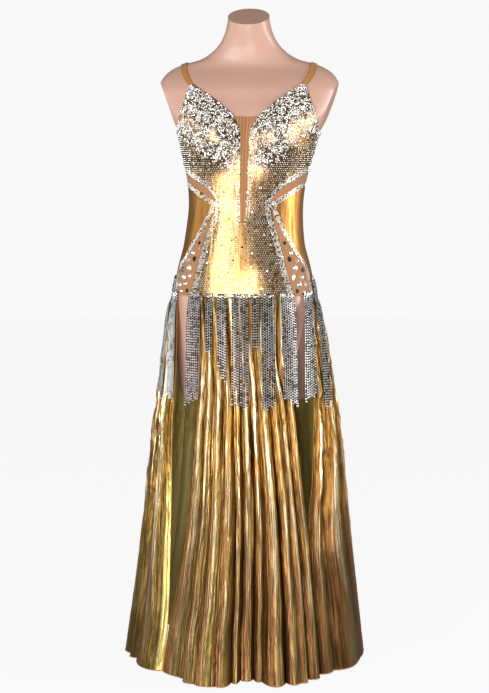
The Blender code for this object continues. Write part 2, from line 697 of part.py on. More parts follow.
def pleated_point(folds, low_angle, high_angle, stop, drop):
    """Point of a pleated panel: a column is (fold, share across it), and drop runs from hip to hem."""
    number, share = stop
    height = between(HIP_LINE - SEAM_GAP - SEAM_MARGIN, HEM_HEIGHT, drop)
    spread = drop ** FOLD_GROWTH
    hip_total = sum(fold.hip_share for fold in folds)
    hem_total = sum(fold.hem_share for fold in folds)
    widths = [between(fold.hip_share / hip_total, fold.hem_share / hem_total, spread) for fold in folds]
    place = (sum(widths[:number]) + widths[number] * share) / sum(widths)
    crest = max(0.0, math.sin(math.pi * share)) ** FOLD_ROUNDNESS
    fold = folds[number]
    last = folds[max(number - 1, 0)]
    coming = folds[min(number + 1, len(folds) - 1)]
    depth = between(last.depth, fold.depth, share)
    valley = FOLD_DEPTH * between(1, depth, spread)
    valley += between(last.inset + fold.inset, coming.inset + fold.inset, share) / 2
    inward = between(valley, fold.inset, crest) * spread
    angle = between(low_angle(height), high_angle(height), place)
    flare = LEFT_FLARE * max(0.0, -math.sin(angle)) ** 2 * drop ** 3
    return skirt_point(angle, height, inward - flare)


def make_skirt():
    front_left, front_right = skirt_angle(FRONT_LEFT_EDGE), skirt_angle(FRONT_RIGHT_EDGE)
    side_left, side_right = skirt_angle(SIDE_LEFT_EDGE), skirt_angle(SIDE_RIGHT_EDGE)

    def front_point(stop, drop):
        return pleated_point(FRONT_FOLDS, lambda height: -front_left(height), front_right, stop, drop)

    def back_point(stop, drop):
        return pleated_point(BACK_FOLDS, side_right, lambda height: 2 * math.pi - side_left(height), stop, drop)

    rows = SKIRT_STEPS[::-1]
    add_cloth("skirt_front", grid_surface(front_point, fold_stops(FRONT_FOLDS), rows), SKIRT_WALL, LAME)
    add_cloth("skirt_back", grid_surface(back_point, fold_stops(BACK_FOLDS), rows), SKIRT_WALL, LAME)


def reshaped(angle, power):
    """An angle on one oval as the angle on a squarer or rounder one, at the same shares of its widths."""
    return math.atan2(signed_power(math.sin(angle), power), signed_power(math.cos(angle), power))


def chain_point(cluster, root_angle, height):
    """Where a chain hangs: outside the folds' crests, and as far as at its root from its neighbours."""
    hip = SKIRT.at(HIP_LINE)
    here = SKIRT.at(min(height, HIP_LINE))
    flare = here.half_width / hip.half_width
    middle = reshaped(math.radians(cluster.degrees), 2 / hip.square)
    offset = reshaped(root_angle, 2 / hip.square) - middle
    follow = cluster.spread * math.sin(middle) ** 2
    bearing = math.asin(math.sin(middle) * (1 + follow * (flare - 1)) / flare) + offset / flare
    angle = reshaped(bearing, here.square / 2)
    clearance = CHAIN_CLEARANCE - SKIRT_WALL / 2
    if height > HIP_LINE:
        return on_figure(angle, height, CLOTH_GAP + clearance)
    return skirt_point(angle, height, -clearance)


def cluster_angles(cluster):
    """The angles of the strip's ends."""
    section = FIGURE.at(cluster.root)
    middle = math.radians(cluster.degrees)
    speed = math.hypot(section.half_width * math.cos(middle), section.front * math.sin(middle))
    half = cluster.chains * CHAIN_PITCH / 2 / speed
    return middle - half, middle + half


def make_cluster(cluster):
    """A narrow backing strip on the hip with its chains drawn down from cells of its lower edge."""
    low_angle, high_angle = cluster_angles(cluster)
    strip_foot = cluster.root + STRIP_RISE

    def strip_point(share, rise):
        height = between(strip_foot, strip_foot + STRIP_HEIGHT, rise)
        return on_figure(between(low_angle, high_angle, share), height, CLOTH_GAP + CLOTH_WALL + STRIP_LIFT)

    bm = grid_surface(strip_point, even(cluster.chains), [0.0, 1.0])
    inner = list(bm.faces)
    grown = bmesh.ops.extrude_face_region(bm, geom=inner, use_keep_orig=True)["geom"]
    bm.normal_update()
    for corner in (item for item in grown if isinstance(item, bmesh.types.BMVert)):
        section = FIGURE.at(corner.co.z)
        out = Vector((corner.co.x / section.half_width ** 2, (corner.co.y - section.middle) / section.front ** 2, 0))
        corner.co += out.normalized() * STRIP_DEPTH
    bmesh.ops.reverse_faces(bm, faces=inner)
    bm.normal_update()
    cells = [face for face in bm.faces if face.normal.z < -0.8]
    cells.sort(key=lambda face: math.atan2(face.calc_center_median().x, -face.calc_center_median().y))
    for number, cell in enumerate(cells):
        draw_chain(bm, cell, cluster, number)
    bmesh.ops.recalc_face_normals(bm, faces=bm.faces)
    return add_object("fringe_" + cluster.name, bm, STONE_CHAIN, smooth=False)


def draw_chain(bm, cell, cluster, number):
    """Insets one cell of a strip's lower edge and draws it down along the chain's path."""
    bmesh.ops.inset_individual(bm, faces=[cell], thickness=CHAIN_MARGIN)
    root_height = cell.calc_center_median().z
    root_angle = between(*cluster_angles(cluster), (number + 0.5) / cluster.chains)
    share = number / max(1, cluster.chains - 1)
    length = cluster.length - abs(cluster.slant) * (share if cluster.slant < 0 else 1 - share)
    length -= CHAIN_STAGGER * (number % 2)
    tip = cell
    for step in CHAIN_STEPS:
        drawn = bmesh.ops.extrude_discrete_faces(bm, faces=[tip])["faces"][0]
        move = chain_point(cluster, root_angle, root_height - length * step) - drawn.calc_center_median()
        bmesh.ops.translate(bm, verts=drawn.verts, vec=move)
        tip = drawn


def make_form():
    """Limbless form: a loft of the figure's sections, closed below and cut flat at neck and shoulders."""
    around = [-degrees for degrees in FORM_DEGREES[:0:-1]] + FORM_DEGREES

    def point_at(degrees, height):
        point = figure_point(math.radians(degrees), height, FORM_CUP_SHARE)
        if height == FORM_FOOT:
            point.x *= FOOT_TAPER
            point.y *= FOOT_TAPER
        return point

    bm = grid_surface(point_at, around, FORM_HEIGHTS)
    bmesh.ops.remove_doubles(bm, verts=bm.verts, dist=MERGE_DISTANCE)
    for side in (-1, 1):
        tip = Vector((side * SHOULDER_TIP.x, SHOULDER_TIP.y, SHOULDER_TIP.z))
        normal = Vector((side * SHOULDER_CUT_NORMAL.x, SHOULDER_CUT_NORMAL.y, SHOULDER_CUT_NORMAL.z))
        cut_flat(bm, tip, normal, SHOULDER_CUT_FOOT)
    cut_flat(bm, NECK_CUT_CENTRE, NECK_CUT_NORMAL, NECK_CUT_FOOT)
    bmesh.ops.holes_fill(bm, edges=[edge for edge in bm.edges if edge.is_boundary])
    bmesh.ops.recalc_face_normals(bm, faces=bm.faces)
    return add_object("dress_form", bm, FORM_PLASTIC)


def cut_flat(bm, point, normal, foot):
    """Removes what lies beyond a plane, of the faces above a height, and closes the cut."""
    faces = [face for face in bm.faces if min(corner.co.z for corner in face.verts) > foot]
    edges = {edge for face in faces for edge in face.edges}
    corners = {corner for face in faces for corner in face.verts}
    cut = bmesh.ops.bisect_plane(
        bm, geom=faces + list(edges) + list(corners), plane_co=point, plane_no=normal, clear_outer=True
    )
    rim = [item for item in cut["geom_cut"] if isinstance(item, bmesh.types.BMEdge)]
    bmesh.ops.holes_fill(bm, edges=rim)


def make_stand():
    bm = bmesh.new()
    lift = Matrix.Translation((0, 0, BASE_THICKNESS / 2))
    bmesh.ops.create_cone(
        bm, cap_ends=True, segments=48, radius1=BASE_RADIUS, radius2=BASE_RADIUS, depth=BASE_THICKNESS, matrix=lift
    )
    base = add_object("stand_base", bm, STAND_STEEL, sways=False)
    rounding = base.modifiers.new("rounded edge", "BEVEL")
    rounding.width = BASE_ROUNDING
    rounding.segments = 1
    foot = BASE_THICKNESS + SEAM_GAP
    head = FORM_FOOT - SEAM_GAP
    bm = bmesh.new()
    lift = Matrix.Translation((0, 0, (foot + head) / 2))
    bmesh.ops.create_cone(
        bm, cap_ends=True, segments=20, radius1=POLE_RADIUS, radius2=POLE_RADIUS, depth=head - foot, matrix=lift
    )
    add_object("stand_pole", bm, STAND_STEEL, sways=False)


def clear_scene():
    for item in list(bpy.data.objects):
        bpy.data.objects.remove(item, do_unlink=True)


def add_collection(name):
    collection = bpy.data.collections.new(name)
    bpy.context.scene.collection.children.link(collection)
    return collection


clear_scene()
PARTS = add_collection("stage_dress")
add_collection("cutters")
make_form()
make_stand()
make_bodice()
make_skirt()
for row in CLUSTERS:
    make_cluster(row)
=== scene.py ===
"""Looks of the gold stage dress with stone chain fringe, on its limbless form.

Metres, +Z up. The front faces -Y and +X is on the viewer's right, so "left" and "right" are the
viewer's. The outline, panels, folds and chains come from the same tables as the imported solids,
drawn with many more points, and stones, chains, rolled hems and stitches are grown on them.
"""

import math
from collections import namedtuple

import bmesh
import bpy
import numpy as np
from mathutils import Matrix, Vector


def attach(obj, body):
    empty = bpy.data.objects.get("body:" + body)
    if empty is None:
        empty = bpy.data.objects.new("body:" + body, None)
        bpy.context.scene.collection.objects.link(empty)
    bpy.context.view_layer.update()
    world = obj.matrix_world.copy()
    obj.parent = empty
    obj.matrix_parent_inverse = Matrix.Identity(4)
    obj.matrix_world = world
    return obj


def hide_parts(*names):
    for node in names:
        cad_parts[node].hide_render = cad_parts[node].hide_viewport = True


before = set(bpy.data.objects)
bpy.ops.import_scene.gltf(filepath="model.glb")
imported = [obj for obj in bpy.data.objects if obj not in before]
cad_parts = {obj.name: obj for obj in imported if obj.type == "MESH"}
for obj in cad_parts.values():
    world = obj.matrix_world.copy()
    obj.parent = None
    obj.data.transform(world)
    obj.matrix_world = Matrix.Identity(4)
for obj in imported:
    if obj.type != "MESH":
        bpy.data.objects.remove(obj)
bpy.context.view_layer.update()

# Camera: it looks at the form's front from 4 degrees to the right of it, a little downwards
CAMERA_DISTANCE = 3.5
CAMERA_TURN = math.radians(4.0)
CAMERA_HEIGHT = 1.100
CAMERA_PITCH = math.radians(6.15)
CAMERA_AIM_ACROSS = -0.0048
CAMERA_LENS = 79.7

# Heights above the floor
HEM_HEIGHT = 0.006
HIP_LINE = 0.845
UNDERARM = 1.208
STRAP_POINT = 1.310
FORM_TOP = 1.515

# Cloth
CLOTH_GAP = 0.0023
CLOTH_WALL = 0.0015
SKIRT_WALL = 0.0012
SEAM_GAP = 0.0003
SEAM_MARGIN = 0.00027
STRAP_WIDTH = 0.0125
SEAM_ALLOWANCE = 0.006
HEM_RADIUS = 0.0013
FOOT_TAPER = 0.95
SHARP_ANGLE = math.radians(50)
FORM_COLUMNS = 108
FORM_ROW_STEP = 0.0075
FORM_SHARP_ANGLE = math.radians(35)
MERGE_DISTANCE = 0.00005
BACK_MERGE_DISTANCE = 0.00003
BODICE_COLUMNS = 44
SIDE_COLUMNS = 20
BACK_COLUMNS = 36
ROW_STEP = 0.0055
# Mean radius of the bodice, which turns angles into metres of cloth
RADIUS_FOR_UV = 0.130
# Width of each skirt panel's cut at the hem, for its UV map, and of the pale edge at the left slit
FRONT_HEM = 0.90
BACK_HEM = 2.10
BAND_WIDTH = 0.018
BAND_FADE = 0.004
# Shares of the way down where the skirt's first rows lie, close together at the seam
FIRST_DROPS = [0.0, 0.004, 0.008, 0.016, 0.03]
# How far across the gold beads reach on the front panel
BEADS_LOW = -0.065
BEADS_HIGH = -0.018
# Steps across each fold and down the panel
FRONT_STEPS = (15, 200)
BACK_STEPS = (12, 150)
# How much deeper than usual the creases are near the hip
FRONT_CRUMPLED = 0.3
BACK_CRUMPLED = 1.6
# Shares of the way down the skirt between which its cloth gets loose, its creases calm down to a share
# of their depth, its pale edge starts to show, and its beads start and end
LOOSENED = (0.0, 0.12)
CALM = (0.25, 0.75)
CALM_SHARE = 0.35
BAND_REACH = (0.42, 0.55)
BEADS_START = (0.01, 0.03)
BEADS_END = (0.20, 0.17)
# Columns from each edge of a panel over which its creases fade out
EDGE_COLUMNS = 8

# Stones on the bodice. The crust's lower limit rises from the plunge to the side seam.
CRUST_FOOT = 1.100
CRUST_SIDE = 1.205
CRUST_WIDTH = 0.150
CRUST_CURVE = 1.1
CRUST_FADE = 0.010
SEAT_PITCH = 0.0052
SEAT_ROW = 0.0045
SEAT_FOOT = 0.005
SEATED_RADIUS = 0.00128
# Angles that the level rows keep clear of the panel's inner and outer edges
SEAT_INNER_ROOM = 0.02
SEAT_OUTER_ROOM = 0.10
BORDER_PITCH = 0.0034
BORDER_RADIUS = 0.0016
BORDER_ROWS = 4
BORDER_STEPS = 40
BORDER_START = 0.0020
HIP_BORDER_FOOT = 0.003
END_ROOM = 0.0006
WAIST_RADIUS = 0.12
PLUNGE_BORDER_FOOT = 1.006
PLUNGE_BORDER_TOP = 1.100
PLUNGE_RADIUS = 0.10

# The lame's tones, of which the brown is painted shade in its valleys, the pale one a painted highlight on
# its ridges, and the copper and olive a painted sheen on its folds' two flanks, and the light that the floor
# and the backdrop give to the camera and to the rest
GOLD = "B4843C"
SHADE_BROWN = "3E280E"
COPPER = "9A683C"
OLIVE = "867036"
HIGHLIGHT_PALE = "FFF4D0"
BRONZE = "684A22"
LIME = "CFC276"
FLOOR_SEEN = 0.915
FLOOR_CAST = 0.16
WORLD_SEEN = 0.94
WORLD_CAST = 0.16
FLOOR_RADIUS = 9.0
AIM_HEIGHT = 0.95

# Kinds of node and settings that come often
NOISE = "ShaderNodeTexNoise"
RANGE = "ShaderNodeMapRange"
MIX = "ShaderNodeMix"
BUMP = "ShaderNodeBump"
MATH = "ShaderNodeMath"
RANDOM = "FunctionNodeRandomValue"
NAMED_VALUE = "GeometryNodeInputNamedAttribute"
IN_COLOUR = {"data_type": "RGBA"}
AS_FLOAT = {"data_type": "FLOAT"}
AS_VECTOR = {"data_type": "FLOAT_VECTOR"}
TIMES = {"operation": "MULTIPLY"}
LESS = {"operation": "SUBTRACT"}

# Chain fringe
CHAIN_PITCH = 0.0050
CHAIN_STAGGER = 0.006
LINK_PITCH = 0.0057
STRIP_DEPTH = 0.0034
STRIP_HEIGHT = 0.0055
STRIP_LIFT = 0.0004
STRIP_RISE = 0.001
CHAIN_CLEARANCE = 0.0052

Section = namedtuple("Section", "height half_width middle front back square")
Edge = namedtuple("Edge", "height across")
Fold = namedtuple("Fold", "hip_share hem_share inset depth")
Cluster = namedtuple("Cluster", "name degrees chains root length slant spread")
Stone = namedtuple("Stone", "height share radius")
Cut = namedtuple("Cut", "width length area held rests_on")
Sway = namedtuple("Sway", "height shift")
Softbox = namedtuple("Softbox", "azimuth distance height width tall power")

# The general figure: middle is the y of each section's widest point, and front and back are its
# depths ahead of and behind that. square is the power of the oval, 2 for an ellipse.
FIGURE_ROWS = [
    Section(0.606, 0.150, 0.004, 0.086, 0.088, 2.2),
    Section(0.680, 0.157, 0.004, 0.096, 0.100, 2.2),
    Section(0.760, 0.162, 0.006, 0.108, 0.114, 2.2),
    Section(0.820, 0.162, 0.006, 0.114, 0.116, 2.2),
    Section(0.852, 0.158, 0.004, 0.113, 0.112, 2.2),
    Section(0.907, 0.147, 0.000, 0.110, 0.104, 2.2),
    Section(0.963, 0.133, -0.002, 0.102, 0.090, 2.2),
    Section(1.045, 0.126, -0.004, 0.090, 0.078, 2.2),
    Section(1.087, 0.129, -0.002, 0.091, 0.081, 2.2),
    Section(1.128, 0.137, 0.000, 0.095, 0.087, 2.25),
    Section(1.170, 0.148, 0.000, 0.099, 0.094, 2.3),
    Section(1.205, 0.157, 0.000, 0.099, 0.099, 2.3),
    Section(1.222, 0.1675, 0.000, 0.097, 0.101, 2.3),
    Section(1.242, 0.182, 0.002, 0.095, 0.101, 2.3),
    Section(1.262, 0.193, 0.004, 0.091, 0.100, 2.3),
    Section(1.285, 0.202, 0.008, 0.086, 0.096, 2.3),
    Section(1.302, 0.205, 0.010, 0.082, 0.093, 2.3),
    Section(1.320, 0.202, 0.012, 0.073, 0.087, 2.25),
    Section(1.336, 0.193, 0.014, 0.062, 0.079, 2.2),
    Section(1.350, 0.177, 0.016, 0.052, 0.069, 2.1),
    Section(1.362, 0.150, 0.014, 0.045, 0.060, 2.0),
    Section(1.372, 0.112, 0.012, 0.043, 0.053, 2.0),
    Section(1.393, 0.079, 0.008, 0.043, 0.047, 2.0),
    Section(1.415, 0.061, 0.002, 0.045, 0.044, 2.0),
    Section(1.439, 0.051, -0.006, 0.046, 0.043, 2.0),
    Section(1.464, 0.0465, -0.014, 0.046, 0.043, 2.0),
    Section(1.515, 0.0460, -0.030, 0.046, 0.043, 2.0),
]
# The cups' fullness over the figure. The form fills only a share of it, and the padded cups the rest.
FORM_CUP_SHARE = 0.90
CUP_ACROSS = 0.078
CUP_HEIGHT = 1.196
CUP_DEPTH = 0.036
CUP_SPREAD = 0.050
CUP_RISE = 0.060
CUP_FALL = 0.046

# Where the form ends flat: each shoulder cut leans in towards the underarm, and the neck cut forward
SHOULDER_TIP = Vector((0.1995, 0.0, 1.318))
SHOULDER_CUT_NORMAL = Vector((1.0, -0.08, -0.360))
SHOULDER_CUT_FOOT = 1.203
NECK_CUT_CENTRE = Vector((0.0, -0.020, 1.4635))
NECK_CUT_NORMAL = Vector((0.0, -0.49, 0.87))
NECK_CUT_FOOT = 1.420
CUT_ROUNDING = 0.0012

# The skirt's outline over its folds' crests
SKIRT_ROWS = [
    Section(0.820, 0.1700, 0.006, 0.123, 0.124, 2.2),
    Section(0.737, 0.1865, 0.006, 0.143, 0.145, 2.1),
    Section(0.627, 0.2040, 0.008, 0.164, 0.166, 2.0),
    Section(0.517, 0.2190, 0.010, 0.186, 0.184, 2.0),
    Section(0.296, 0.2415, 0.014, 0.220, 0.214, 2.0),
    Section(0.130, 0.2590, 0.018, 0.258, 0.240, 2.0),
    Section(HEM_HEIGHT, 0.2725, 0.022, 0.296, 0.264, 2.0),
]
FOLD_DEPTH = 0.026
FOLD_GROWTH = 0.70
FOLD_ROUNDNESS = 0.70
LEFT_FLARE = 0.013

# Edges of the pieces on the viewer's right, as distances across from the centre line
PLUNGE_EDGE = [Edge(0.999, 0.0), Edge(1.004, 0.0013), Edge(1.030, 0.0050), Edge(1.083, 0.0068),
               Edge(1.150, 0.0100), Edge(1.208, 0.0127), Edge(1.239, 0.0270)]
NECKLINE = [Edge(1.239, 0.0270), Edge(1.258, 0.0468), Edge(1.284, 0.0780), Edge(STRAP_POINT, 0.1165)]
ARMHOLE = [Edge(1.222, 0.1545), Edge(1.2455, 0.1495), Edge(1.274, 0.1400), Edge(STRAP_POINT, 0.1290)]
BACK_ARMHOLE = [Edge(1.222, 0.1510), Edge(1.258, 0.1380), Edge(1.284, 0.1200), Edge(1.300, 0.1075)]
BACK_NECKLINE = [Edge(UNDERARM, 0.0), Edge(1.213, 0.0260), Edge(1.222, 0.0420), Edge(1.239, 0.0610),
                 Edge(1.258, 0.0750), Edge(1.284, 0.0880), Edge(1.300, 0.0947)]
HIP_INSERT_INNER = [Edge(HIP_LINE, 0.1160), Edge(0.892, 0.1020), Edge(0.927, 0.0930), Edge(0.985, 0.0770),
                    Edge(1.032, 0.0610)]
HIP_INSERT_OUTER = [Edge(HIP_LINE, 0.1480), Edge(0.892, 0.1400), Edge(0.914, 0.1330), Edge(0.935, 0.1180),
                    Edge(0.960, 0.1035), Edge(0.985, 0.0870), Edge(1.032, 0.0640)]
WAIST_INSERT_LOWER = [Edge(1.055, 0.0610), Edge(1.066, 0.0790), Edge(1.080, 0.1010), Edge(1.096, 0.1220),
                      Edge(1.101, 0.1290)]
WAIST_INSERT_UPPER = [Edge(1.061, 0.0610), Edge(1.083, 0.0790), Edge(1.099, 0.1010), Edge(1.112, 0.1220),
                      Edge(1.117, 0.1300)]
# Where the waist insert's two edges reach the side seam
WAIST_LOWER_END = 1.105
WAIST_UPPER_END = 1.1225
# The skirt's edges at its two slits
FRONT_LEFT_EDGE = [Edge(HEM_HEIGHT, 0.1985), Edge(0.106, 0.1840), Edge(0.170, 0.1690), Edge(0.234, 0.1590),
                   Edge(0.319, 0.1430), Edge(0.446, 0.1262), Edge(0.561, 0.1140), Edge(0.630, 0.1050),
                   Edge(0.720, 0.0975), Edge(HIP_LINE, 0.0950)]
# This edge is drawn up to 15 mm nearer to the front panel than the solid's, so that it closes near the hem
SIDE_LEFT_EDGE = [Edge(HEM_HEIGHT, 0.2003), Edge(0.060, 0.1945), Edge(0.108, 0.1885), Edge(0.170, 0.1850),
                  Edge(0.231, 0.1835), Edge(0.314, 0.1812), Edge(0.441, 0.1780), Edge(0.555, 0.1750),
                  Edge(0.609, 0.1692), Edge(0.720, 0.1580), Edge(HIP_LINE, 0.1500)]
FRONT_RIGHT_EDGE = [Edge(HEM_HEIGHT, 0.1935), Edge(0.195, 0.1725), Edge(0.278, 0.1625), Edge(0.364, 0.1517),
                    Edge(0.491, 0.1350), Edge(0.616, 0.1180), Edge(0.720, 0.0985), Edge(HIP_LINE, 0.0950)]
SIDE_RIGHT_EDGE = [Edge(HEM_HEIGHT, 0.1975), Edge(0.195, 0.1768), Edge(0.278, 0.1680), Edge(0.364, 0.1668),
                   Edge(0.427, 0.1725), Edge(0.491, 0.1735), Edge(0.616, 0.1720), Edge(0.720, 0.1600),
                   Edge(HIP_LINE, 0.1500)]

SIDE_SEAM = math.radians(90)
BACK_STRAP_ACROSS = 0.1010
STRAP_BOW = 0.033
STRAP_LIFT = 0.0009
STRAP_AXIS_Y = 0.012
STRAP_AXIS_HEIGHT = 1.250

# One row for each fold: its share of the hip line, its share of the hem, how far its crest stays
# behind the skirt's outline at the hem, and how deep the valley after it still is there
FRONT_FOLDS = [
    Fold(7, 18.0, 0.030, 0.25), Fold(9, 9.0, 0.006, 0.10), Fold(9, 9.0, 0.000, 0.05),
    Fold(9, 8.0, 0.004, 1.00), Fold(9, 4.5, 0.034, 0.80), Fold(10, 9.0, 0.052, 1.00),
    Fold(9, 4.5, 0.044, 0.90), Fold(10, 12.0, 0.004, 1.00), Fold(9, 6.0, 0.002, 0.15),
    Fold(9, 6.0, 0.004, 1.00), Fold(10, 9.5, 0.010, 1.00),
]
# From the right slit round the back to the left one
BACK_FOLDS = [
    Fold(5, 10, 0.020, 0.60), Fold(9, 24, 0.000, 0.10), Fold(9, 26, 0.000, 0.20),
    Fold(11, 22, 0.000, 1.00), Fold(13, 16, 0.006, 1.00), Fold(12, 9, 0.012, 1.00),
    Fold(13, 15, 0.001, 1.00), Fold(12, 8, 0.010, 1.00), Fold(13, 16, 0.000, 1.00),
    Fold(12, 10, 0.008, 1.00), Fold(13, 15, 0.002, 1.00), Fold(12, 8, 0.010, 1.00),
    Fold(13, 16, 0.000, 1.00), Fold(12, 9, 0.012, 1.00), Fold(13, 15, 0.001, 1.00),
    Fold(12, 8, 0.008, 1.00), Fold(12, 15, 0.000, 0.80), Fold(8, 6, 0.008, 0.60),
    Fold(12, 24, 0.010, 1.00),
]

# degrees is the cluster's middle, counted round the hip from the front, root is its height and length
# is how far its longest chain hangs. slant is how much shorter the chain at one end is: the right end
# where it is above 0. spread is how much of the skirt's flare the cluster follows.
CLUSTERS = [
    Cluster("left_back", -86.0, 4, 0.878, 0.273, 0.020, 0.65),
    Cluster("left_side", -68.5, 5, HIP_LINE, 0.236, 0.012, 0.45),
    Cluster("left_slit", -38.0, 7, HIP_LINE, 0.240, -0.016, 1.0),
    Cluster("left_front", -23.5, 3, HIP_LINE, 0.130, 0.010, 1.0),
    Cluster("left_centre", -13.2, 4, HIP_LINE, 0.190, 0.040, 1.0),
    Cluster("centre", -0.8, 6, HIP_LINE, 0.246, 0.012, 1.0),
    Cluster("right_centre", 9.2, 3, HIP_LINE, 0.120, -0.012, 1.0),
    Cluster("right_front", 19.3, 6, HIP_LINE, 0.250, -0.014, 1.0),
    Cluster("right_slit", 36.5, 7, HIP_LINE, 0.240, 0.018, 1.0),
    Cluster("right_side", 62.5, 6, HIP_LINE, 0.232, -0.012, 0.30),
    Cluster("right_back", 81.5, 5, 0.878, 0.292, -0.020, 0.65),
]

# Large stones on each hip insert: their height, share of the insert's width and radius
HIP_STONES = [
    Stone(0.963, 0.50, 0.0044), Stone(0.951, 0.34, 0.0050), Stone(0.940, 0.68, 0.0058),
    Stone(0.927, 0.30, 0.0062), Stone(0.922, 0.72, 0.0070), Stone(0.907, 0.42, 0.0072),
    Stone(0.902, 0.80, 0.0062), Stone(0.889, 0.24, 0.0068), Stone(0.886, 0.62, 0.0078),
    Stone(0.871, 0.42, 0.0072), Stone(0.868, 0.80, 0.0066), Stone(0.856, 0.20, 0.0052),
    Stone(0.854, 0.60, 0.0050),
]

# How far the form sways from upright: its hips to the viewer's left and its shoulders to the right
SWAY = [
    Sway(HEM_HEIGHT, 0.0), Sway(0.400, 0.0), Sway(0.700, -0.002),
    Sway(0.880, -0.005), Sway(0.950, -0.005), Sway(1.050, -0.001),
    Sway(1.150, 0.002), Sway(1.260, 0.006), Sway(1.350, 0.005),
    Sway(FORM_TOP, 0.006),
]

# The lights: where each softbox stands, its size and its power. Azimuth 0 is the front and grows towards +X.
SOFTBOXES = {
    "softbox_left": Softbox(-24, 3.0, 1.15, 1.5, 2.0, 76),
    "softbox_right": Softbox(84, 2.6, 1.35, 0.45, 2.0, 56),
    "softbox_low": Softbox(0, 1.9, 0.50, 0.4, 0.5, 13),
    "softbox_far_left": Softbox(-88, 2.8, 1.10, 0.4, 1.8, 9),
    "softbox_top": Softbox(-10, 3.0, 3.3, 1.4, 0.8, 9),
}


class Profile:
    """A table of rows by height, read at any height on smooth curves that never overshoot its rows."""

    def __init__(self, rows):
        rows = sorted(rows)
        self.kind = type(rows[0])
        self.heights = np.array([row[0] for row in rows])
        self.values = np.array([row[1:] for row in rows])
        self.slopes = self.row_slopes()
        self.known = {}

    def row_slopes(self):
        steps = np.diff(self.heights)[:, None]
        between_rows = np.diff(self.values, axis=0) / steps
        slopes = np.zeros_like(self.values)
        slopes[0] = between_rows[0]
        slopes[-1] = between_rows[-1]
        before = 2 * steps[1:] + steps[:-1]
        after = steps[1:] + 2 * steps[:-1]
        same_way = between_rows[:-1] * between_rows[1:] > 0
        safe_low = np.where(same_way, between_rows[:-1], 1)
        safe_high = np.where(same_way, between_rows[1:], 1)
        mean = (before + after) / (before / safe_low + after / safe_high)
        slopes[1:-1] = np.where(same_way, mean, 0)
        return slopes

    def at(self, height):
        if height in self.known:
            return self.known[height]
        level = min(max(height, self.heights[0]), self.heights[-1])
        row = int(np.clip(np.searchsorted(self.heights, level) - 1, 0, len(self.heights) - 2))
        step = self.heights[row + 1] - self.heights[row]
        t = (level - self.heights[row]) / step
        value = (
            self.values[row] * (1 + 2 * t) * (1 - t) ** 2
            + self.slopes[row] * step * t * (1 - t) ** 2
            + self.values[row + 1] * t * t * (3 - 2 * t)
            + self.slopes[row + 1] * step * t * t * (t - 1)
        )
        self.known[height] = self.kind(level, *value.tolist())
        return self.known[height]


FIGURE = Profile(FIGURE_ROWS)


def hip_rows():
    """The skirt's outline at the hip line, upright for a seam's width where it continues the bodice."""
    hip = FIGURE.at(HIP_LINE)
    hip = hip._replace(
        half_width=hip.half_width + CLOTH_GAP, front=hip.front + CLOTH_GAP, back=hip.back + CLOTH_GAP
    )
    return [hip, hip._replace(height=HIP_LINE - SEAM_ALLOWANCE)]


SKIRT = Profile(SKIRT_ROWS + hip_rows())
LEAN = Profile(SWAY)


def signed_power(value, power):
    return math.copysign(abs(value) ** power, value)


def oval_point(angle, section):
    """Point of an oval section. Angles start at the front and grow towards +X."""
    forward = math.cos(angle)
    depth = section.front if forward > 0 else section.back
    return Vector((
        section.half_width * signed_power(math.sin(angle), 2 / section.square),
        section.middle - depth * signed_power(forward, 2 / section.square),
        section.height,
    ))


def angle_at(across, section, behind=False):
    """Angle of the point that lies this far across on a section's front, or on its back."""
    share = min(1.0, abs(across) / section.half_width)
    angle = math.asin(share ** (section.square / 2))
    if behind:
        angle = math.pi - angle
    return math.copysign(angle, across)


def cup_fullness(across, height):
    """How far the two cups stand ahead of the plain figure."""
    spread = CUP_RISE if height > CUP_HEIGHT else CUP_FALL
    sideways = (abs(across) - CUP_ACROSS) / CUP_SPREAD
    upwards = (height - CUP_HEIGHT) / spread
    return CUP_DEPTH * math.exp(-sideways * sideways - upwards * upwards)


def figure_point(angle, height, cup_share=1.0):
    point = oval_point(angle, FIGURE.at(height))
    forward = math.cos(angle)
    if forward > 0:
        point.y -= cup_fullness(point.x, height) * forward * cup_share
    return point


def on_figure(angle, height, out):
    """Point a distance outside the figure's surface, along its normal."""
    turn = 0.01
    rise = 0.002
    across = figure_point(angle + turn, height) - figure_point(angle - turn, height)
    upwards = figure_point(angle, height + rise) - figure_point(angle, height - rise)
    return figure_point(angle, height) + across.cross(upwards).normalized() * out


def between(low, high, share):
    return low + (high - low) * share


def swayed(point):
    """The tables are all drawn upright, and every piece but the stand sways with the form."""
    return Vector((point[0] + LEAN.at(round(point[2], 5)).shift, point[1], point[2]))


def edge_angle(edge, behind=False, side_end=None):
    """A function from height to the angle of an edge. From its last row it may run on to the side seam."""
    profile = Profile(edge)
    last = edge[-1].height

    def angle(height):
        if side_end is None or height <= last:
            return angle_at(profile.at(height).across, FIGURE.at(height), behind)
        start = angle_at(edge[-1].across, FIGURE.at(last), behind)
        return between(start, SIDE_SEAM, min(1.0, (height - last) / (side_end - last)))

    return angle


def seam_side(edge, towards):
    """An edge moved along the figure to leave its half of the seam's gap, away from the front for 1."""
    turn = 0.01

    def angle(height):
        here = edge(height)
        span = (figure_point(here + turn, height) - figure_point(here - turn, height)).length
        return here + towards * SEAM_MARGIN * 2 * turn / span

    return angle


def front_inner_edge():
    """Centre seam, then the plunge's edge, then the neckline."""
    plunge = edge_angle(PLUNGE_EDGE)
    neckline = edge_angle(NECKLINE)

    def angle(height):
        if height < PLUNGE_EDGE[0].height:
            return 0.0
        return plunge(height) if height < NECKLINE[0].height else neckline(height)

    return angle


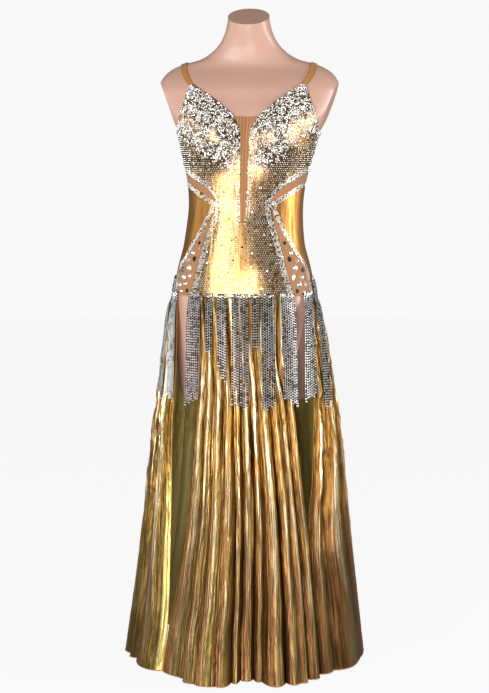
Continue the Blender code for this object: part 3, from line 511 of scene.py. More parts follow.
def round_underarm(armhole_edge, behind=False):
    """Side seam, then the armhole's round lower end, then its edge."""
    armhole = edge_angle(armhole_edge, behind)
    start = armhole_edge[0].height

    def angle(height):
        if height < UNDERARM:
            return SIDE_SEAM
        if height < start:
            share = (height - UNDERARM) / (start - UNDERARM)
            return between(SIDE_SEAM, armhole(start), math.sqrt(share))
        return armhole(height)

    return angle


def front_outer_edge():
    """Hip insert, waist point, waist insert, side seam and then the armhole."""
    hip = edge_angle(HIP_INSERT_INNER)
    waist = edge_angle(WAIST_INSERT_UPPER, side_end=WAIST_UPPER_END)
    side = round_underarm(ARMHOLE)

    def angle(height):
        if height < WAIST_INSERT_UPPER[0].height:
            return hip(height)
        return waist(height) if height < WAIST_UPPER_END else side(height)

    return angle


def side_inner_edge():
    """Hip insert, waist point and waist insert, from below."""
    outer = edge_angle(HIP_INSERT_OUTER)
    inner = edge_angle(HIP_INSERT_INNER)
    waist = edge_angle(WAIST_INSERT_LOWER)

    def angle(height):
        if height < HIP_INSERT_OUTER[-1].height:
            return outer(height)
        return inner(height) if height < WAIST_INSERT_LOWER[0].height else waist(height)

    return angle


def finer(rows, step):
    """Every given row, with equal steps no longer than this between them."""
    rows = sorted(set(rows))
    result = [rows[0]]
    for low, high in zip(rows, rows[1:]):
        count = max(1, math.ceil((high - low) / step))
        result += [between(low, high, number / count) for number in range(1, count + 1)]
    return result


def even(count):
    """Shares from 0 to 1 in count equal steps."""
    return [step / count for step in range(count + 1)]


# Mesh helpers


def link(item):
    bpy.context.scene.collection.objects.link(item)
    return item


def grid_mesh(name, rows, uvs, marks=None):
    """An open surface through rows of points, with a UV map in metres and named values at its points."""
    height, width = len(rows), len(rows[0])
    mesh = bpy.data.meshes.new(name)
    faces = [
        (r * width + c, r * width + c + 1, (r + 1) * width + c + 1, (r + 1) * width + c)
        for r in range(height - 1) for c in range(width - 1)
    ]
    mesh.from_pydata([point for row in rows for point in row], [], faces)
    flat = np.array(uvs, float).reshape(-1, 2)
    corners = np.zeros(len(mesh.loops), int)
    mesh.loops.foreach_get("vertex_index", corners)
    layer = mesh.uv_layers.new(name="cloth")
    layer.data.foreach_set("uv", flat[corners].ravel())
    for key, values in (marks or {}).items():
        store = mesh.attributes.new(key, "FLOAT", "POINT")
        store.data.foreach_set("value", np.array(values, float).ravel())
    mesh.shade_smooth()
    return mesh


def keep_plain(piece):
    """Applies a piece's modifiers, so that it is a plain mesh."""
    graph = bpy.context.evaluated_depsgraph_get()
    result = bpy.data.meshes.new_from_object(
        piece.evaluated_get(graph), preserve_all_data_layers=True, depsgraph=graph
    )
    piece.modifiers.clear()
    piece.data = result
    result.name = piece.name
    return piece


def thicken(piece, wall, inner=False):
    """Gives an open surface its wall, outwards, with sharp rims, and a second material on its inner side
    where inner is set.
    """
    shell = piece.modifiers.new("wall", "SOLIDIFY")
    shell.thickness = wall
    shell.offset = 1
    shell.material_offset = 1 if inner else 0
    keep_plain(piece)
    piece.data.set_sharp_from_angle(angle=SHARP_ANGLE)
    return piece


def add_cloth(name, mesh, wall, outer):
    """Cloth in one material: an open surface thickened outwards."""
    mesh.materials.append(outer)
    return thicken(link(bpy.data.objects.new(name, mesh)), wall)


def path_mesh(name, paths):
    """Strings of points as loose edges. Each path is a list of (point, outward direction)."""
    points = [point for path in paths for point, _out in path]
    outs = [out for path in paths for _point, out in path]
    edges = []
    start = 0
    for path in paths:
        edges += [(start + i, start + i + 1) for i in range(len(path) - 1)]
        start += len(path)
    mesh = bpy.data.meshes.new(name)
    mesh.from_pydata(points, edges, [])
    store = mesh.attributes.new("out", "FLOAT_VECTOR", "POINT")
    store.data.foreach_set("vector", np.array(outs, float).ravel())
    return mesh


def to_mesh(bm, name):
    mesh = bpy.data.meshes.new(name)
    bm.to_mesh(mesh)
    bm.free()
    return mesh


def settle(piece, slot, *nodes):
    """Hides the solids that a finished piece stands for and fixes it to the root body, so that it never
    moves. Its slot is not used.
    """
    if nodes:
        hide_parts(*nodes)
    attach(piece, "root")
    return piece


# Node helpers


def add_node(tree, kind, settings=None, inputs=None):
    """Adds a node, sets its properties, and sets or links its inputs by name or by place."""
    node = tree.nodes.new(kind)
    for key, value in (settings or {}).items():
        setattr(node, key, value)
    return set_inputs(tree, node, inputs or {})


def set_inputs(tree, node, inputs):
    """Sets or links a node's inputs. A node given for a value stands for its first output in use."""
    sockets = [socket for socket in node.inputs if socket.enabled]
    for key, value in inputs.items():
        socket = sockets[key] if isinstance(key, int) else next(s for s in sockets if s.name == key)
        if isinstance(value, bpy.types.Node):
            value = next(s for s in value.outputs if s.enabled)
        if isinstance(value, bpy.types.NodeSocket):
            tree.links.new(value, socket)
        else:
            socket.default_value = value
    return node


def new_tree(name, sizes):
    """A geometry tree with named inputs, and the node that gives them."""
    tree = bpy.data.node_groups.new(name, "GeometryNodeTree")
    tree.interface.new_socket("Geometry", in_out="INPUT", socket_type="NodeSocketGeometry")
    tree.interface.new_socket("Geometry", in_out="OUTPUT", socket_type="NodeSocketGeometry")
    for label, kind in sizes:
        tree.interface.new_socket(label, in_out="INPUT", socket_type="NodeSocket" + kind)
    return tree, add_node(tree, "NodeGroupInput").outputs


def close_tree(tree, geometry, material):
    """Ends a tree with real geometry in one material."""
    real = add_node(tree, "GeometryNodeRealizeInstances", inputs={"Geometry": geometry})
    dyed = add_node(tree, "GeometryNodeSetMaterial", inputs={"Geometry": real, "Material": material})
    add_node(tree, "NodeGroupOutput", inputs={"Geometry": dyed})


def grow(name, mesh, tree, sizes):
    """Runs a tree on a mesh and keeps the result as a plain mesh."""
    piece = link(bpy.data.objects.new(name, mesh))
    modifier = piece.modifiers.new("grow", "NODES")
    modifier.node_group = tree
    for item in tree.interface.items_tree:
        if item.item_type == "SOCKET" and item.in_out == "INPUT" and item.name in sizes:
            modifier[item.identifier] = sizes[item.name]
    return keep_plain(piece)


def scatter_tree():
    """Stones set all over a surface, as close as its spacing and its cover allow, each a little tilted."""
    tree, given = new_tree("scattered stones", [
        ("Stones", "Collection"), ("Cover", "String"), ("Spacing", "Float"), ("Smallest", "Float"),
        ("Largest", "Float"), ("Tilt", "Float"), ("Seed", "Int"), ("Material", "Material"),
    ])
    cover = add_node(tree, NAMED_VALUE, AS_FLOAT, {"Name": given["Cover"]})
    density = add_node(tree, MATH, {"operation": "POWER"}, {0: given["Spacing"], 1: -2.0})
    crowded = add_node(tree, MATH, TIMES, {0: density, 1: 4.0})
    points = add_node(tree, "GeometryNodeDistributePointsOnFaces", {"distribute_method": "POISSON"}, {
        "Mesh": given["Geometry"], "Distance Min": given["Spacing"], "Density Max": crowded,
        "Density Factor": cover, "Seed": given["Seed"],
    })
    lowest = add_node(tree, MATH, TIMES, {0: given["Tilt"], 1: -1.0})
    turn_low = add_node(tree, "ShaderNodeCombineXYZ", inputs={"X": lowest, "Y": lowest, "Z": -math.pi})
    turn_high = add_node(tree, "ShaderNodeCombineXYZ", inputs={
        "X": given["Tilt"], "Y": given["Tilt"], "Z": math.pi,
    })
    turn = add_node(tree, RANDOM, AS_VECTOR, {"Min": turn_low, "Max": turn_high, "Seed": given["Seed"]})
    turned = add_node(tree, "FunctionNodeRotateRotation", {"rotation_space": "LOCAL"}, {
        "Rotation": points.outputs["Rotation"],
        "Rotate By": add_node(tree, "FunctionNodeEulerToRotation", inputs={"Euler": turn}),
    })
    size = add_node(tree, RANDOM, AS_FLOAT, {
        "Min": given["Smallest"], "Max": given["Largest"], "Seed": given["Seed"],
    })
    shapes = add_node(tree, "GeometryNodeCollectionInfo", inputs={
        "Collection": given["Stones"], "Separate Children": True, "Reset Children": True,
    })
    stones = add_node(tree, "GeometryNodeInstanceOnPoints", inputs={
        "Points": points, "Instance": shapes, "Pick Instance": True, "Rotation": turned, "Scale": size,
    })
    close_tree(tree, with_tone(tree, stones, given["Seed"]), given["Material"])
    return tree


def with_tone(tree, instances, seed):
    """Gives each instance its own value from 0 to 1, which its material reads as tone."""
    tone = add_node(tree, RANDOM, AS_FLOAT, {"Min": 0.0, "Max": 1.0, "Seed": seed})
    return add_node(tree, "GeometryNodeStoreNamedAttribute", {"data_type": "FLOAT", "domain": "INSTANCE"}, {
        "Geometry": instances, "Name": "tone", "Value": tone,
    })


def string_tree():
    """Links strung along paths at an even pitch, each facing outwards."""
    tree, given = new_tree("strung links", [
        ("Link", "Object"), ("Pitch", "Float"), ("Smallest", "Float"), ("Largest", "Float"), ("Seed", "Int"),
        ("Material", "Material"),
    ])
    curve = add_node(tree, "GeometryNodeMeshToCurve", inputs={"Mesh": given["Geometry"]})
    points = add_node(tree, "GeometryNodeCurveToPoints", {"mode": "LENGTH"}, {
        "Curve": curve, "Length": given["Pitch"],
    })
    outwards = add_node(tree, NAMED_VALUE, AS_VECTOR, {"Name": "out"})
    facing = add_node(tree, "FunctionNodeAxesToRotation", {"primary_axis": "Z", "secondary_axis": "Y"}, {
        "Primary Axis": points.outputs["Tangent"], "Secondary Axis": outwards,
    })
    size = add_node(tree, RANDOM, AS_FLOAT, {
        "Min": given["Smallest"], "Max": given["Largest"], "Seed": given["Seed"],
    })
    shape = add_node(tree, "GeometryNodeObjectInfo", inputs={"Object": given["Link"]})
    links = add_node(tree, "GeometryNodeInstanceOnPoints", inputs={
        "Points": points, "Instance": shape.outputs["Geometry"], "Rotation": facing, "Scale": size,
    })
    close_tree(tree, with_tone(tree, links, given["Seed"]), given["Material"])
    return tree


def rolled_tree():
    """A round cord of cloth or thread along paths."""
    tree, given = new_tree("rolled edge", [("Radius", "Float"), ("Sides", "Int"), ("Material", "Material")])
    curve = add_node(tree, "GeometryNodeMeshToCurve", inputs={"Mesh": given["Geometry"]})
    ring = add_node(tree, "GeometryNodeCurvePrimitiveCircle", inputs={
        "Resolution": given["Sides"], "Radius": given["Radius"],
    })
    tube = add_node(tree, "GeometryNodeCurveToMesh", inputs={
        "Curve": curve, "Profile Curve": ring, "Fill Caps": True,
    })
    close_tree(tree, tube, given["Material"])
    return tree


def crinkle_tree():
    """Soft creases that run down a hanging cloth, deepest where its points are marked loose."""
    tree, given = new_tree("crinkled cloth", [
        ("Depth", "Float"), ("Width", "Float"), ("Length", "Float"), ("Seed", "Float"),
        ("Material", "Material"),
    ])
    place = add_node(tree, NAMED_VALUE, AS_VECTOR, {"Name": "cloth"})
    parts = add_node(tree, "ShaderNodeSeparateXYZ", inputs={"Vector": place})
    across = add_node(tree, MATH, {"operation": "DIVIDE"}, {0: parts.outputs["X"], 1: given["Width"]})
    along = add_node(tree, MATH, {"operation": "DIVIDE"}, {0: parts.outputs["Y"], 1: given["Length"]})
    stretched = add_node(tree, "ShaderNodeCombineXYZ", inputs={"X": across, "Y": along, "Z": given["Seed"]})
    creases = add_node(tree, NOISE, {"noise_dimensions": "3D"}, {
        "Vector": stretched, "Scale": 1.0, "Detail": 2.0, "Roughness": 0.55, "Distortion": 0.5,
    })
    centred = add_node(tree, MATH, LESS, {0: creases, 1: 0.5})
    loose = add_node(tree, NAMED_VALUE, AS_FLOAT, {"Name": "loose"})
    depth = add_node(tree, MATH, TIMES, {0: given["Depth"], 1: loose})
    lift = add_node(tree, MATH, TIMES, {0: centred, 1: depth})
    shift = add_node(tree, "ShaderNodeVectorMath", {"operation": "SCALE"}, {
        "Vector": add_node(tree, "GeometryNodeInputNormal"), "Scale": lift,
    })
    moved = add_node(tree, "GeometryNodeSetPosition", inputs={
        "Geometry": given["Geometry"], "Offset": shift,
    })
    close_tree(tree, moved, given["Material"])
    return tree


# Materials


def to_linear(code):
    """An sRGB hex colour as linear red, green, blue and alpha."""
    shares = [int(code[start:start + 2], 16) / 255 for start in (0, 2, 4)]
    return [
        share / 12.92 if share <= 0.04045 else ((share + 0.055) / 1.055) ** 2.4 for share in shares
    ] + [1.0]


def new_material(name, settings):
    """A Principled material with values that are the same all over it, its tree and its shader."""
    material = bpy.data.materials.new(name)
    material.use_nodes = True
    tree = material.node_tree
    shader = tree.nodes["Principled BSDF"]
    for key, value in settings.items():
        shader.inputs[key].default_value = value
    return material, tree, shader


def cloth_place(tree, width, length, turn=0.0):
    """The cloth's own UV place, in units of a pattern's width and length in metres."""
    return add_node(tree, "ShaderNodeMapping", inputs={
        "Vector": add_node(tree, "ShaderNodeUVMap", {"uv_map": "cloth"}),
        "Scale": (1 / width, 1 / length, 1.0), "Rotation": (0.0, 0.0, turn),
    })


def body_place(tree, size):
    """Object coordinates in units of a pattern's size in metres."""
    return add_node(tree, "ShaderNodeMapping", inputs={
        "Vector": add_node(tree, "ShaderNodeTexCoord").outputs["Object"], "Scale": (1 / size,) * 3,
    })


def form_plastic():
    """Moulded plastic with a sprayed satin coat: an even pink with a soft gloss and a faint orange peel."""
    material, tree, shader = new_material("moulded_plastic_sprayed_pink", {
        "Metallic": 0.0, "Roughness": 0.42, "IOR": 1.46, "Coat Weight": 0.2, "Coat Roughness": 0.25,
    })
    patches = add_node(tree, NOISE, inputs={"Vector": body_place(tree, 0.12), "Scale": 1.0, "Detail": 3.0})
    tint = add_node(tree, MIX, IN_COLOUR, {
        "Factor": patches, "A": to_linear("C49986"), "B": to_linear("CEA593"),
    })
    # The spray's orange peel is about 2 mm across
    peel = add_node(tree, NOISE, inputs={"Vector": body_place(tree, 0.002), "Scale": 1.0, "Detail": 1.0})
    bump = add_node(tree, BUMP, inputs={"Height": peel, "Distance": 0.00002})
    set_inputs(tree, shader, {"Base Color": tint, "Normal": bump})
    return material


def foil_cloth(name, low, high, roughness, creases):
    """Stretch jersey with gold foil: a metal skin that mirrors softly, with creases where it is pulled."""
    material, tree, shader = new_material(name, {
        "Metallic": 1.0, "Roughness": roughness, "Anisotropic": 0.25,
    })
    # Foil on jersey breaks into dots about 1 mm apart
    grain = add_node(tree, NOISE, inputs={
        "Vector": cloth_place(tree, 0.0011, 0.0011), "Scale": 1.0, "Detail": 1.0,
    })
    worn = add_node(tree, RANGE, inputs={"Value": grain, "From Min": 0.35, "From Max": 0.65})
    tint = add_node(tree, MIX, IN_COLOUR, {"Factor": worn, "A": to_linear(low), "B": to_linear(high)})
    broad = add_node(tree, NOISE, inputs={
        "Vector": cloth_place(tree, 0.045, 0.160), "Scale": 1.0, "Detail": 2.0, "Distortion": 0.3,
    })
    pulled = add_node(tree, NOISE, inputs={
        "Vector": cloth_place(tree, 0.011, 0.120), "Scale": 1.0, "Detail": 3.0, "Distortion": 0.4,
    })
    swells = add_node(tree, BUMP, inputs={"Height": broad, "Distance": 0.006 * creases})
    lines = add_node(tree, BUMP, inputs={"Height": pulled, "Distance": 0.0012 * creases, "Normal": swells})
    bump = add_node(tree, BUMP, inputs={"Height": grain, "Distance": 0.00006, "Normal": lines})
    set_inputs(tree, shader, {"Base Color": tint, "Normal": bump})
    return material


def lame_outside():
    """Crinkled lame, flat metal thread over an olive ground, with painted light: a painted sheen, copper on
    each fold's left flank and olive gold on its right one, a painted highlight nearly white on its ridge,
    painted shade in its valleys, and darker bronze towards the hem."""
    material, tree, shader = new_material("lame_woven_gold", {"Anisotropic": 0.3})
    place = add_node(tree, "ShaderNodeSeparateXYZ", inputs={
        "Vector": add_node(tree, "ShaderNodeUVMap", {"uv_map": "cloth"}),
    })
    patches = add_node(tree, NOISE, inputs={
        "Vector": cloth_place(tree, 0.05, 0.40), "Scale": 1.0, "Detail": 3.0, "Distortion": 0.6,
    })
    # The ground's own change of colour over 5 cm moves each border of the tones by up to a fifth
    wander = add_node(tree, RANGE, inputs={
        "Value": patches, "From Min": 0.3, "From Max": 0.7, "To Min": -0.2, "To Max": 0.2,
    })
    # Painted sheen: the cloth is copper on each fold's left flank and olive gold on its right one, by the
    # way the flank faces
    flank = add_node(tree, "ShaderNodeAttribute", {"attribute_name": "flank"})
    turned = add_node(tree, MATH, {"operation": "ADD"}, {0: flank.outputs["Fac"], 1: wander})
    side = add_node(tree, RANGE, inputs={"Value": turned, "From Min": 0.42, "From Max": 0.62})
    flank_sheen = add_node(tree, MIX, IN_COLOUR, {"Factor": side, "A": to_linear(COPPER), "B": to_linear(OLIVE)})
    # level is 0 at the hem and 1 from the thighs up
    level = add_node(tree, RANGE, inputs={"Value": place.outputs["Y"], "From Min": 0.12, "From Max": 0.58})
    golden = add_node(tree, RANGE, inputs={"Value": level, "To Min": 0.0, "To Max": 0.72})
    sides = add_node(tree, MIX, IN_COLOUR, {"Factor": golden, "A": flank_sheen, "B": to_linear(GOLD)})
    # Long creases follow the folds: each gets a painted highlight on its own small ridge and painted shade
    # in its valley
    creases = add_node(tree, NOISE, inputs={
        "Vector": cloth_place(tree, 0.012, 0.22), "Scale": 1.0, "Detail": 3.0, "Roughness": 0.6,
        "Distortion": 0.8,
    })
    creased = add_node(tree, RANGE, inputs={
        "Value": creases, "From Min": 0.35, "From Max": 0.65, "To Min": -0.20, "To Max": 0.20,
    })
    # Painted highlight: nearly white along each fold's ridge, most strongly high up
    from_ridge = add_node(tree, MATH, LESS, {0: flank.outputs["Fac"], 1: 0.5})
    distance = add_node(tree, MATH, {"operation": "ABSOLUTE"}, {0: from_ridge})
    place_on_fold = add_node(tree, MATH, LESS, {0: distance, 1: creased})
    ridge = add_node(tree, RANGE, inputs={
        "Value": place_on_fold, "From Min": 0.13, "From Max": 0.0, "To Min": 0.0, "To Max": 0.85,
    })
    shine = add_node(tree, RANGE, inputs={"Value": level, "From Min": 0.0, "From Max": 0.9, "To Min": 0.12})
    lit = add_node(tree, MATH, TIMES, {0: ridge, 1: shine})
    # Painted shade: each fold's valley darkens towards brown
    valley = add_node(tree, RANGE, inputs={
        "Value": place_on_fold, "From Min": 0.22, "From Max": 0.46, "To Min": 0.0, "To Max": 0.85,
    })
    valley_shaded = add_node(tree, MIX, IN_COLOUR, {"Factor": valley, "A": sides, "B": to_linear(SHADE_BROWN)})
    ridge_highlighted = add_node(tree, MIX, IN_COLOUR, {"Factor": lit, "A": valley_shaded, "B": to_linear(HIGHLIGHT_PALE)})
    # Darker bronze towards the hem
    towards_hem = add_node(tree, RANGE, inputs={"Value": level, "To Min": 0.35, "To Max": 0.0})
    bronzed = add_node(tree, MIX, IN_COLOUR, {"Factor": towards_hem, "A": ridge_highlighted, "B": to_linear(BRONZE)})
    band = add_node(tree, "ShaderNodeAttribute", {"attribute_name": "band"})
    banded = add_node(tree, MIX, IN_COLOUR, {
        "Factor": band.outputs["Fac"], "A": bronzed, "B": to_linear(LIME),
    })
    rough = add_node(tree, RANGE, inputs={"Value": level, "To Min": 0.38, "To Max": 0.285})
    metal = add_node(tree, RANGE, inputs={"Value": level, "To Min": 0.80, "To Max": 1.0})
    # A crumple of 30 by 85 mm facets crosses the folds where the foil is stiff
    crumple = add_node(tree, "ShaderNodeTexVoronoi", {"feature": "SMOOTH_F1"}, {
        "Vector": cloth_place(tree, 0.030, 0.085, 0.25), "Scale": 1.0,
    })
    # Thread is 0.4 mm wide, drawn 1.6 mm wide to show
    thread = add_node(tree, NOISE, inputs={
        "Vector": cloth_place(tree, 0.0016, 0.012), "Scale": 1.0, "Detail": 1.0,
    })
    facets = add_node(tree, BUMP, inputs={"Height": crumple, "Distance": 0.0065})
    folds = add_node(tree, BUMP, inputs={"Height": creases, "Distance": 0.0080, "Normal": facets})
    bump = add_node(tree, BUMP, inputs={"Height": thread, "Distance": 0.00005, "Normal": folds})
    set_inputs(tree, shader, {"Base Color": banded, "Roughness": rough, "Metallic": metal, "Normal": bump})
    return material


def lame_inside():
    """The lame's back, where the ground thread shows: dark olive above and lime lower down, hardly glossy,
    all painted lighter than the thread as painted light coming through the thin cloth, most lower down.
    """
    material, tree, shader = new_material("lame_back_olive", {
        "Metallic": 0.15, "Roughness": 0.55, "Sheen Weight": 0.3, "Sheen Roughness": 0.4,
    })
    place = add_node(tree, "ShaderNodeSeparateXYZ", inputs={
        "Vector": add_node(tree, "ShaderNodeUVMap", {"uv_map": "cloth"}),
    })
    # Painted light: lower down the back is made lighter and more lime, as if lit through the cloth
    level = add_node(tree, RANGE, inputs={
        "Value": place.outputs["Y"], "From Min": 0.50, "From Max": 0.28, "To Min": 0.0, "To Max": 1.0,
    })
    streaks = add_node(tree, NOISE, inputs={
        "Vector": cloth_place(tree, 0.030, 0.35), "Scale": 1.0, "Detail": 3.0, "Distortion": 0.5,
    })
    streaked = add_node(tree, RANGE, inputs={"Value": streaks, "From Min": 0.3, "From Max": 0.7})
    dark = add_node(tree, MIX, IN_COLOUR, {
        "Factor": streaked, "A": to_linear("A08C38"), "B": to_linear("DCC670"),
    })
    light = add_node(tree, MIX, IN_COLOUR, {
        "Factor": streaked, "A": to_linear("BCA65A"), "B": to_linear("E6DC92"),
    })
    tint = add_node(tree, MIX, IN_COLOUR, {"Factor": level, "A": dark, "B": light})
    thread = add_node(tree, NOISE, inputs={
        "Vector": cloth_place(tree, 0.0016, 0.012), "Scale": 1.0, "Detail": 1.0,
    })
    folds = add_node(tree, BUMP, inputs={"Height": streaks, "Distance": 0.003})
    bump = add_node(tree, BUMP, inputs={"Height": thread, "Distance": 0.0002, "Normal": folds})
    set_inputs(tree, shader, {"Base Color": tint, "Normal": bump})
    return material


def ribbed_cloth(name, low, high, rib, settings):
    """Knitted or woven cloth with fine upright ribs, lighter on the ribs."""
    material, tree, shader = new_material(name, settings)
    place = cloth_place(tree, rib * 2 * math.pi, 0.05)
    wave = add_node(
        tree, "ShaderNodeTexWave", {"wave_type": "BANDS", "bands_direction": "X", "wave_profile": "SIN"},
        {"Vector": place, "Scale": 1.0, "Distortion": 0.6, "Detail": 1.0},
    )
    tint = add_node(tree, MIX, IN_COLOUR, {
        "Factor": wave.outputs["Fac"], "A": to_linear(low), "B": to_linear(high),
    })
    grain = add_node(tree, NOISE, inputs={
        "Vector": cloth_place(tree, 0.0012, 0.0012), "Scale": 1.0, "Detail": 1.0,
    })
    ribs = add_node(tree, BUMP, inputs={"Height": wave.outputs["Fac"], "Distance": 0.0003})
    bump = add_node(tree, BUMP, inputs={"Height": grain, "Distance": 0.0001, "Normal": ribs})
    set_inputs(tree, shader, {"Base Color": tint, "Normal": bump})
    return material


def cut_stone(name, dark, bright, ramp_low, ramp_high, metallic, roughness):
    """Cut glass with a foiled back: it mirrors like silver, with a painted sparkle: each stone gets a random
    tone from dark to bright, so that some look dark and some clear.
    """
    material, tree, shader = new_material(name, {"Metallic": metallic, "Roughness": roughness})
    # Painted sparkle: a random tone per stone between its dark and bright colours
    tone = add_node(tree, "ShaderNodeAttribute", {"attribute_name": "tone"})
    share = add_node(tree, RANGE, inputs={
        "Value": tone.outputs["Fac"], "From Min": ramp_low, "From Max": ramp_high,
    })
    tint = add_node(tree, MIX, IN_COLOUR, {"Factor": share, "A": to_linear(dark), "B": to_linear(bright)})
    set_inputs(tree, shader, {"Base Color": tint})
    return material


def plain_metal(name, colour, roughness):
    """Plated metal: its colour and its softness of shine are the same all over."""
    settings = {"Metallic": 1.0, "Roughness": roughness, "Base Color": to_linear(colour)}
    return new_material(name, settings)[0]


def rolled_thread():
    """Rolled hem bound with orange gold thread, in slanting turns 1 mm apart drawn 3 mm apart to show."""
    material, tree, shader = new_material("rolled_hem_thread", {"Metallic": 0.7, "Roughness": 0.38})
    turns = add_node(tree, "ShaderNodeTexWave", {"wave_type": "BANDS", "bands_direction": "DIAGONAL"}, {
        "Vector": body_place(tree, 0.003), "Scale": 1.0,
    })
    tint = add_node(tree, MIX, IN_COLOUR, {
        "Factor": turns.outputs["Fac"], "A": to_linear("A8692A"), "B": to_linear("E0A654"),
    })
    bump = add_node(tree, BUMP, inputs={"Height": turns.outputs["Fac"], "Distance": 0.0002})
    set_inputs(tree, shader, {"Base Color": tint, "Normal": bump})
    return material


def brushed_steel():
    """Brushed stainless steel: fine scratches blur what it mirrors."""
    material, tree, shader = new_material("stainless_steel_brushed", {
        "Metallic": 1.0, "Anisotropic": 0.5, "Base Color": to_linear("C9C9C6"),
    })
    scratches = add_node(tree, NOISE, inputs={
        "Vector": body_place(tree, 0.0006), "Scale": 1.0, "Detail": 2.0,
    })
    rough = add_node(tree, RANGE, inputs={
        "Value": scratches, "From Min": 0.3, "From Max": 0.7, "To Min": 0.24, "To Max": 0.40,
    })
    bump = add_node(tree, BUMP, inputs={"Height": scratches, "Distance": 0.00002})
    set_inputs(tree, shader, {"Roughness": rough, "Normal": bump})
    return material


def paper_floor():
    """White studio paper, lit so evenly that it hardly shows a shadow, with little light back up from it."""
    material, tree, shader = new_material("studio_paper_white", {
        "Roughness": 0.9, "Specular IOR Level": 0.0, "Emission Color": (1.0, 1.0, 1.0, 1.0),
    })
    fibres = add_node(tree, NOISE, inputs={"Vector": body_place(tree, 0.004), "Scale": 1.0, "Detail": 2.0})
    tint = add_node(tree, MIX, IN_COLOUR, {
        "Factor": fibres, "A": to_linear("383838"), "B": to_linear("3E3E3E"),
    })
    seen = add_node(tree, RANGE, inputs={
        "Value": add_node(tree, "ShaderNodeLightPath").outputs["Is Camera Ray"], "To Min": FLOOR_CAST,
        "To Max": FLOOR_SEEN,
    })
    set_inputs(tree, shader, {"Base Color": tint, "Emission Strength": seen})
    return material


PLASTIC = form_plastic()
FOIL = foil_cloth("foil_on_stretch_jersey", "86541C", "CCA468", 0.28, 0.6)
SIDE_FOIL = foil_cloth("foil_jersey_side", "A87038", "D09C58", 0.40, 0.8)
LAME = lame_outside()
LAME_BACK = lame_inside()
MESH_CLOTH = ribbed_cloth("power_mesh_tan", "98643A", "B48054", 0.0020, {
    "Roughness": 0.75, "Sheen Weight": 0.2, "Sheen Roughness": 0.5,
})
ELASTIC = ribbed_cloth("satin_elastic_tan", "A06A2C", "CC924C", 0.0022, {
    "Roughness": 0.42, "Sheen Weight": 0.3, "Sheen Roughness": 0.4,
})
STONE = cut_stone("cut_glass_foiled", "4A4A38", "FFFFFA", 0.10, 0.35, 0.60, 0.28)
LARGE_STONE = cut_stone("cut_glass_large", "2A2A26", "FAFAF6", 0.15, 0.50, 0.85, 0.28)
CHAIN_STONE = cut_stone("chain_stones_in_silver_cups", "8C887E", "FFFFFF", 0.1, 0.30, 0.45, 0.30)
# Nearly black, for the strips and for the chains' cores, which are painted shade in the gaps between their
# stones
DARK_STRIP_AND_GAP_SHADE = plain_metal("oxidised_silver_cups", "14120E", 0.45)
BEAD_GOLD = plain_metal("gold_glass_beads", "E0962E", 0.28)
HEM_THREAD = rolled_thread()
STEEL = brushed_steel()


# Stones and links, in units of their own half length where they are scattered


def cut_gem(name, outline, crown, table, collection):
    """A flat-backed cut stone on a plane outline: its crown's facets rise from the girdle to the table."""
    bm = bmesh.new()
    count = len(outline)
    rim = [bm.verts.new((x, y, 0.0)) for x, y in outline]
    top = []
    for number in range(count):
        x = (outline[number][0] + outline[(number + 1) % count][0]) / 2 * table
        y = (outline[number][1] + outline[(number + 1) % count][1]) / 2 * table
        top.append(bm.verts.new((x, y, crown)))
    for number in range(count):
        after = (number + 1) % count
        bm.faces.new((rim[number], rim[after], top[number]))
        bm.faces.new((rim[after], top[after], top[number]))
    bm.faces.new(top)
    bm.faces.new(rim[::-1])
    gem = bpy.data.objects.new(name, to_mesh(bm, name))
    collection.objects.link(gem)
    return gem


def ring_outline(sides, wide=1.0, long=1.0, point=0.0):
    """A round, oval or drop outline. point draws its +Y end out into a tip."""
    result = []
    for number in range(sides):
        angle = 2 * math.pi * number / sides
        tip = 1 + point * max(0.0, math.sin(angle)) ** 3
        narrow = 1 - point * max(0.0, math.sin(angle)) * 0.5
        result.append((wide * math.cos(angle) * narrow, long * math.sin(angle) * tip))
    return result


SMALL_STONES = bpy.data.collections.new("small stones")
SMALL_ROUND = cut_gem("small_round", ring_outline(6), 0.60, 0.62, SMALL_STONES)
CRUST_STONES = bpy.data.collections.new("crust stones")
cut_gem("crust_1_round", ring_outline(8), 0.55, 0.60, CRUST_STONES)
cut_gem("crust_2_navette", ring_outline(6, 0.55, 1.35), 0.50, 0.50, CRUST_STONES)
cut_gem("crust_3_drop", ring_outline(8, 0.85, 0.95, 0.6), 0.55, 0.55, CRUST_STONES)
cut_gem("crust_4_round", ring_outline(6, 0.8, 0.8), 0.60, 0.50, CRUST_STONES)
BAGUETTE_OUTLINE = [(-0.45, -1.0), (0.45, -1.0), (0.45, 1.0), (-0.45, 1.0)]
cut_gem("crust_5_baguette", BAGUETTE_OUTLINE, 0.45, 0.75, CRUST_STONES)
LARGE_STONES = bpy.data.collections.new("large stones")
LARGE_ROUND = cut_gem("large_round", ring_outline(8), 0.55, 0.40, LARGE_STONES)
LARGE_DROP = cut_gem("large_drop", ring_outline(8, 0.72, 0.95, 0.55), 0.50, 0.38, LARGE_STONES)


def facing_outwards(gem, name, radius):
    """The same stone turned for a string of stones: its table faces Y, and Z runs along the string."""
    mesh = gem.data.copy()
    mesh.transform(Matrix.Rotation(math.radians(-90), 4, "X") @ Matrix.Scale(radius, 4))
    return bpy.data.objects.new(name, mesh)


SEATED_STONE = facing_outwards(SMALL_ROUND, "seated_stone", SEATED_RADIUS)
BORDER_STONE = facing_outwards(SMALL_ROUND, "border_stone", BORDER_RADIUS)


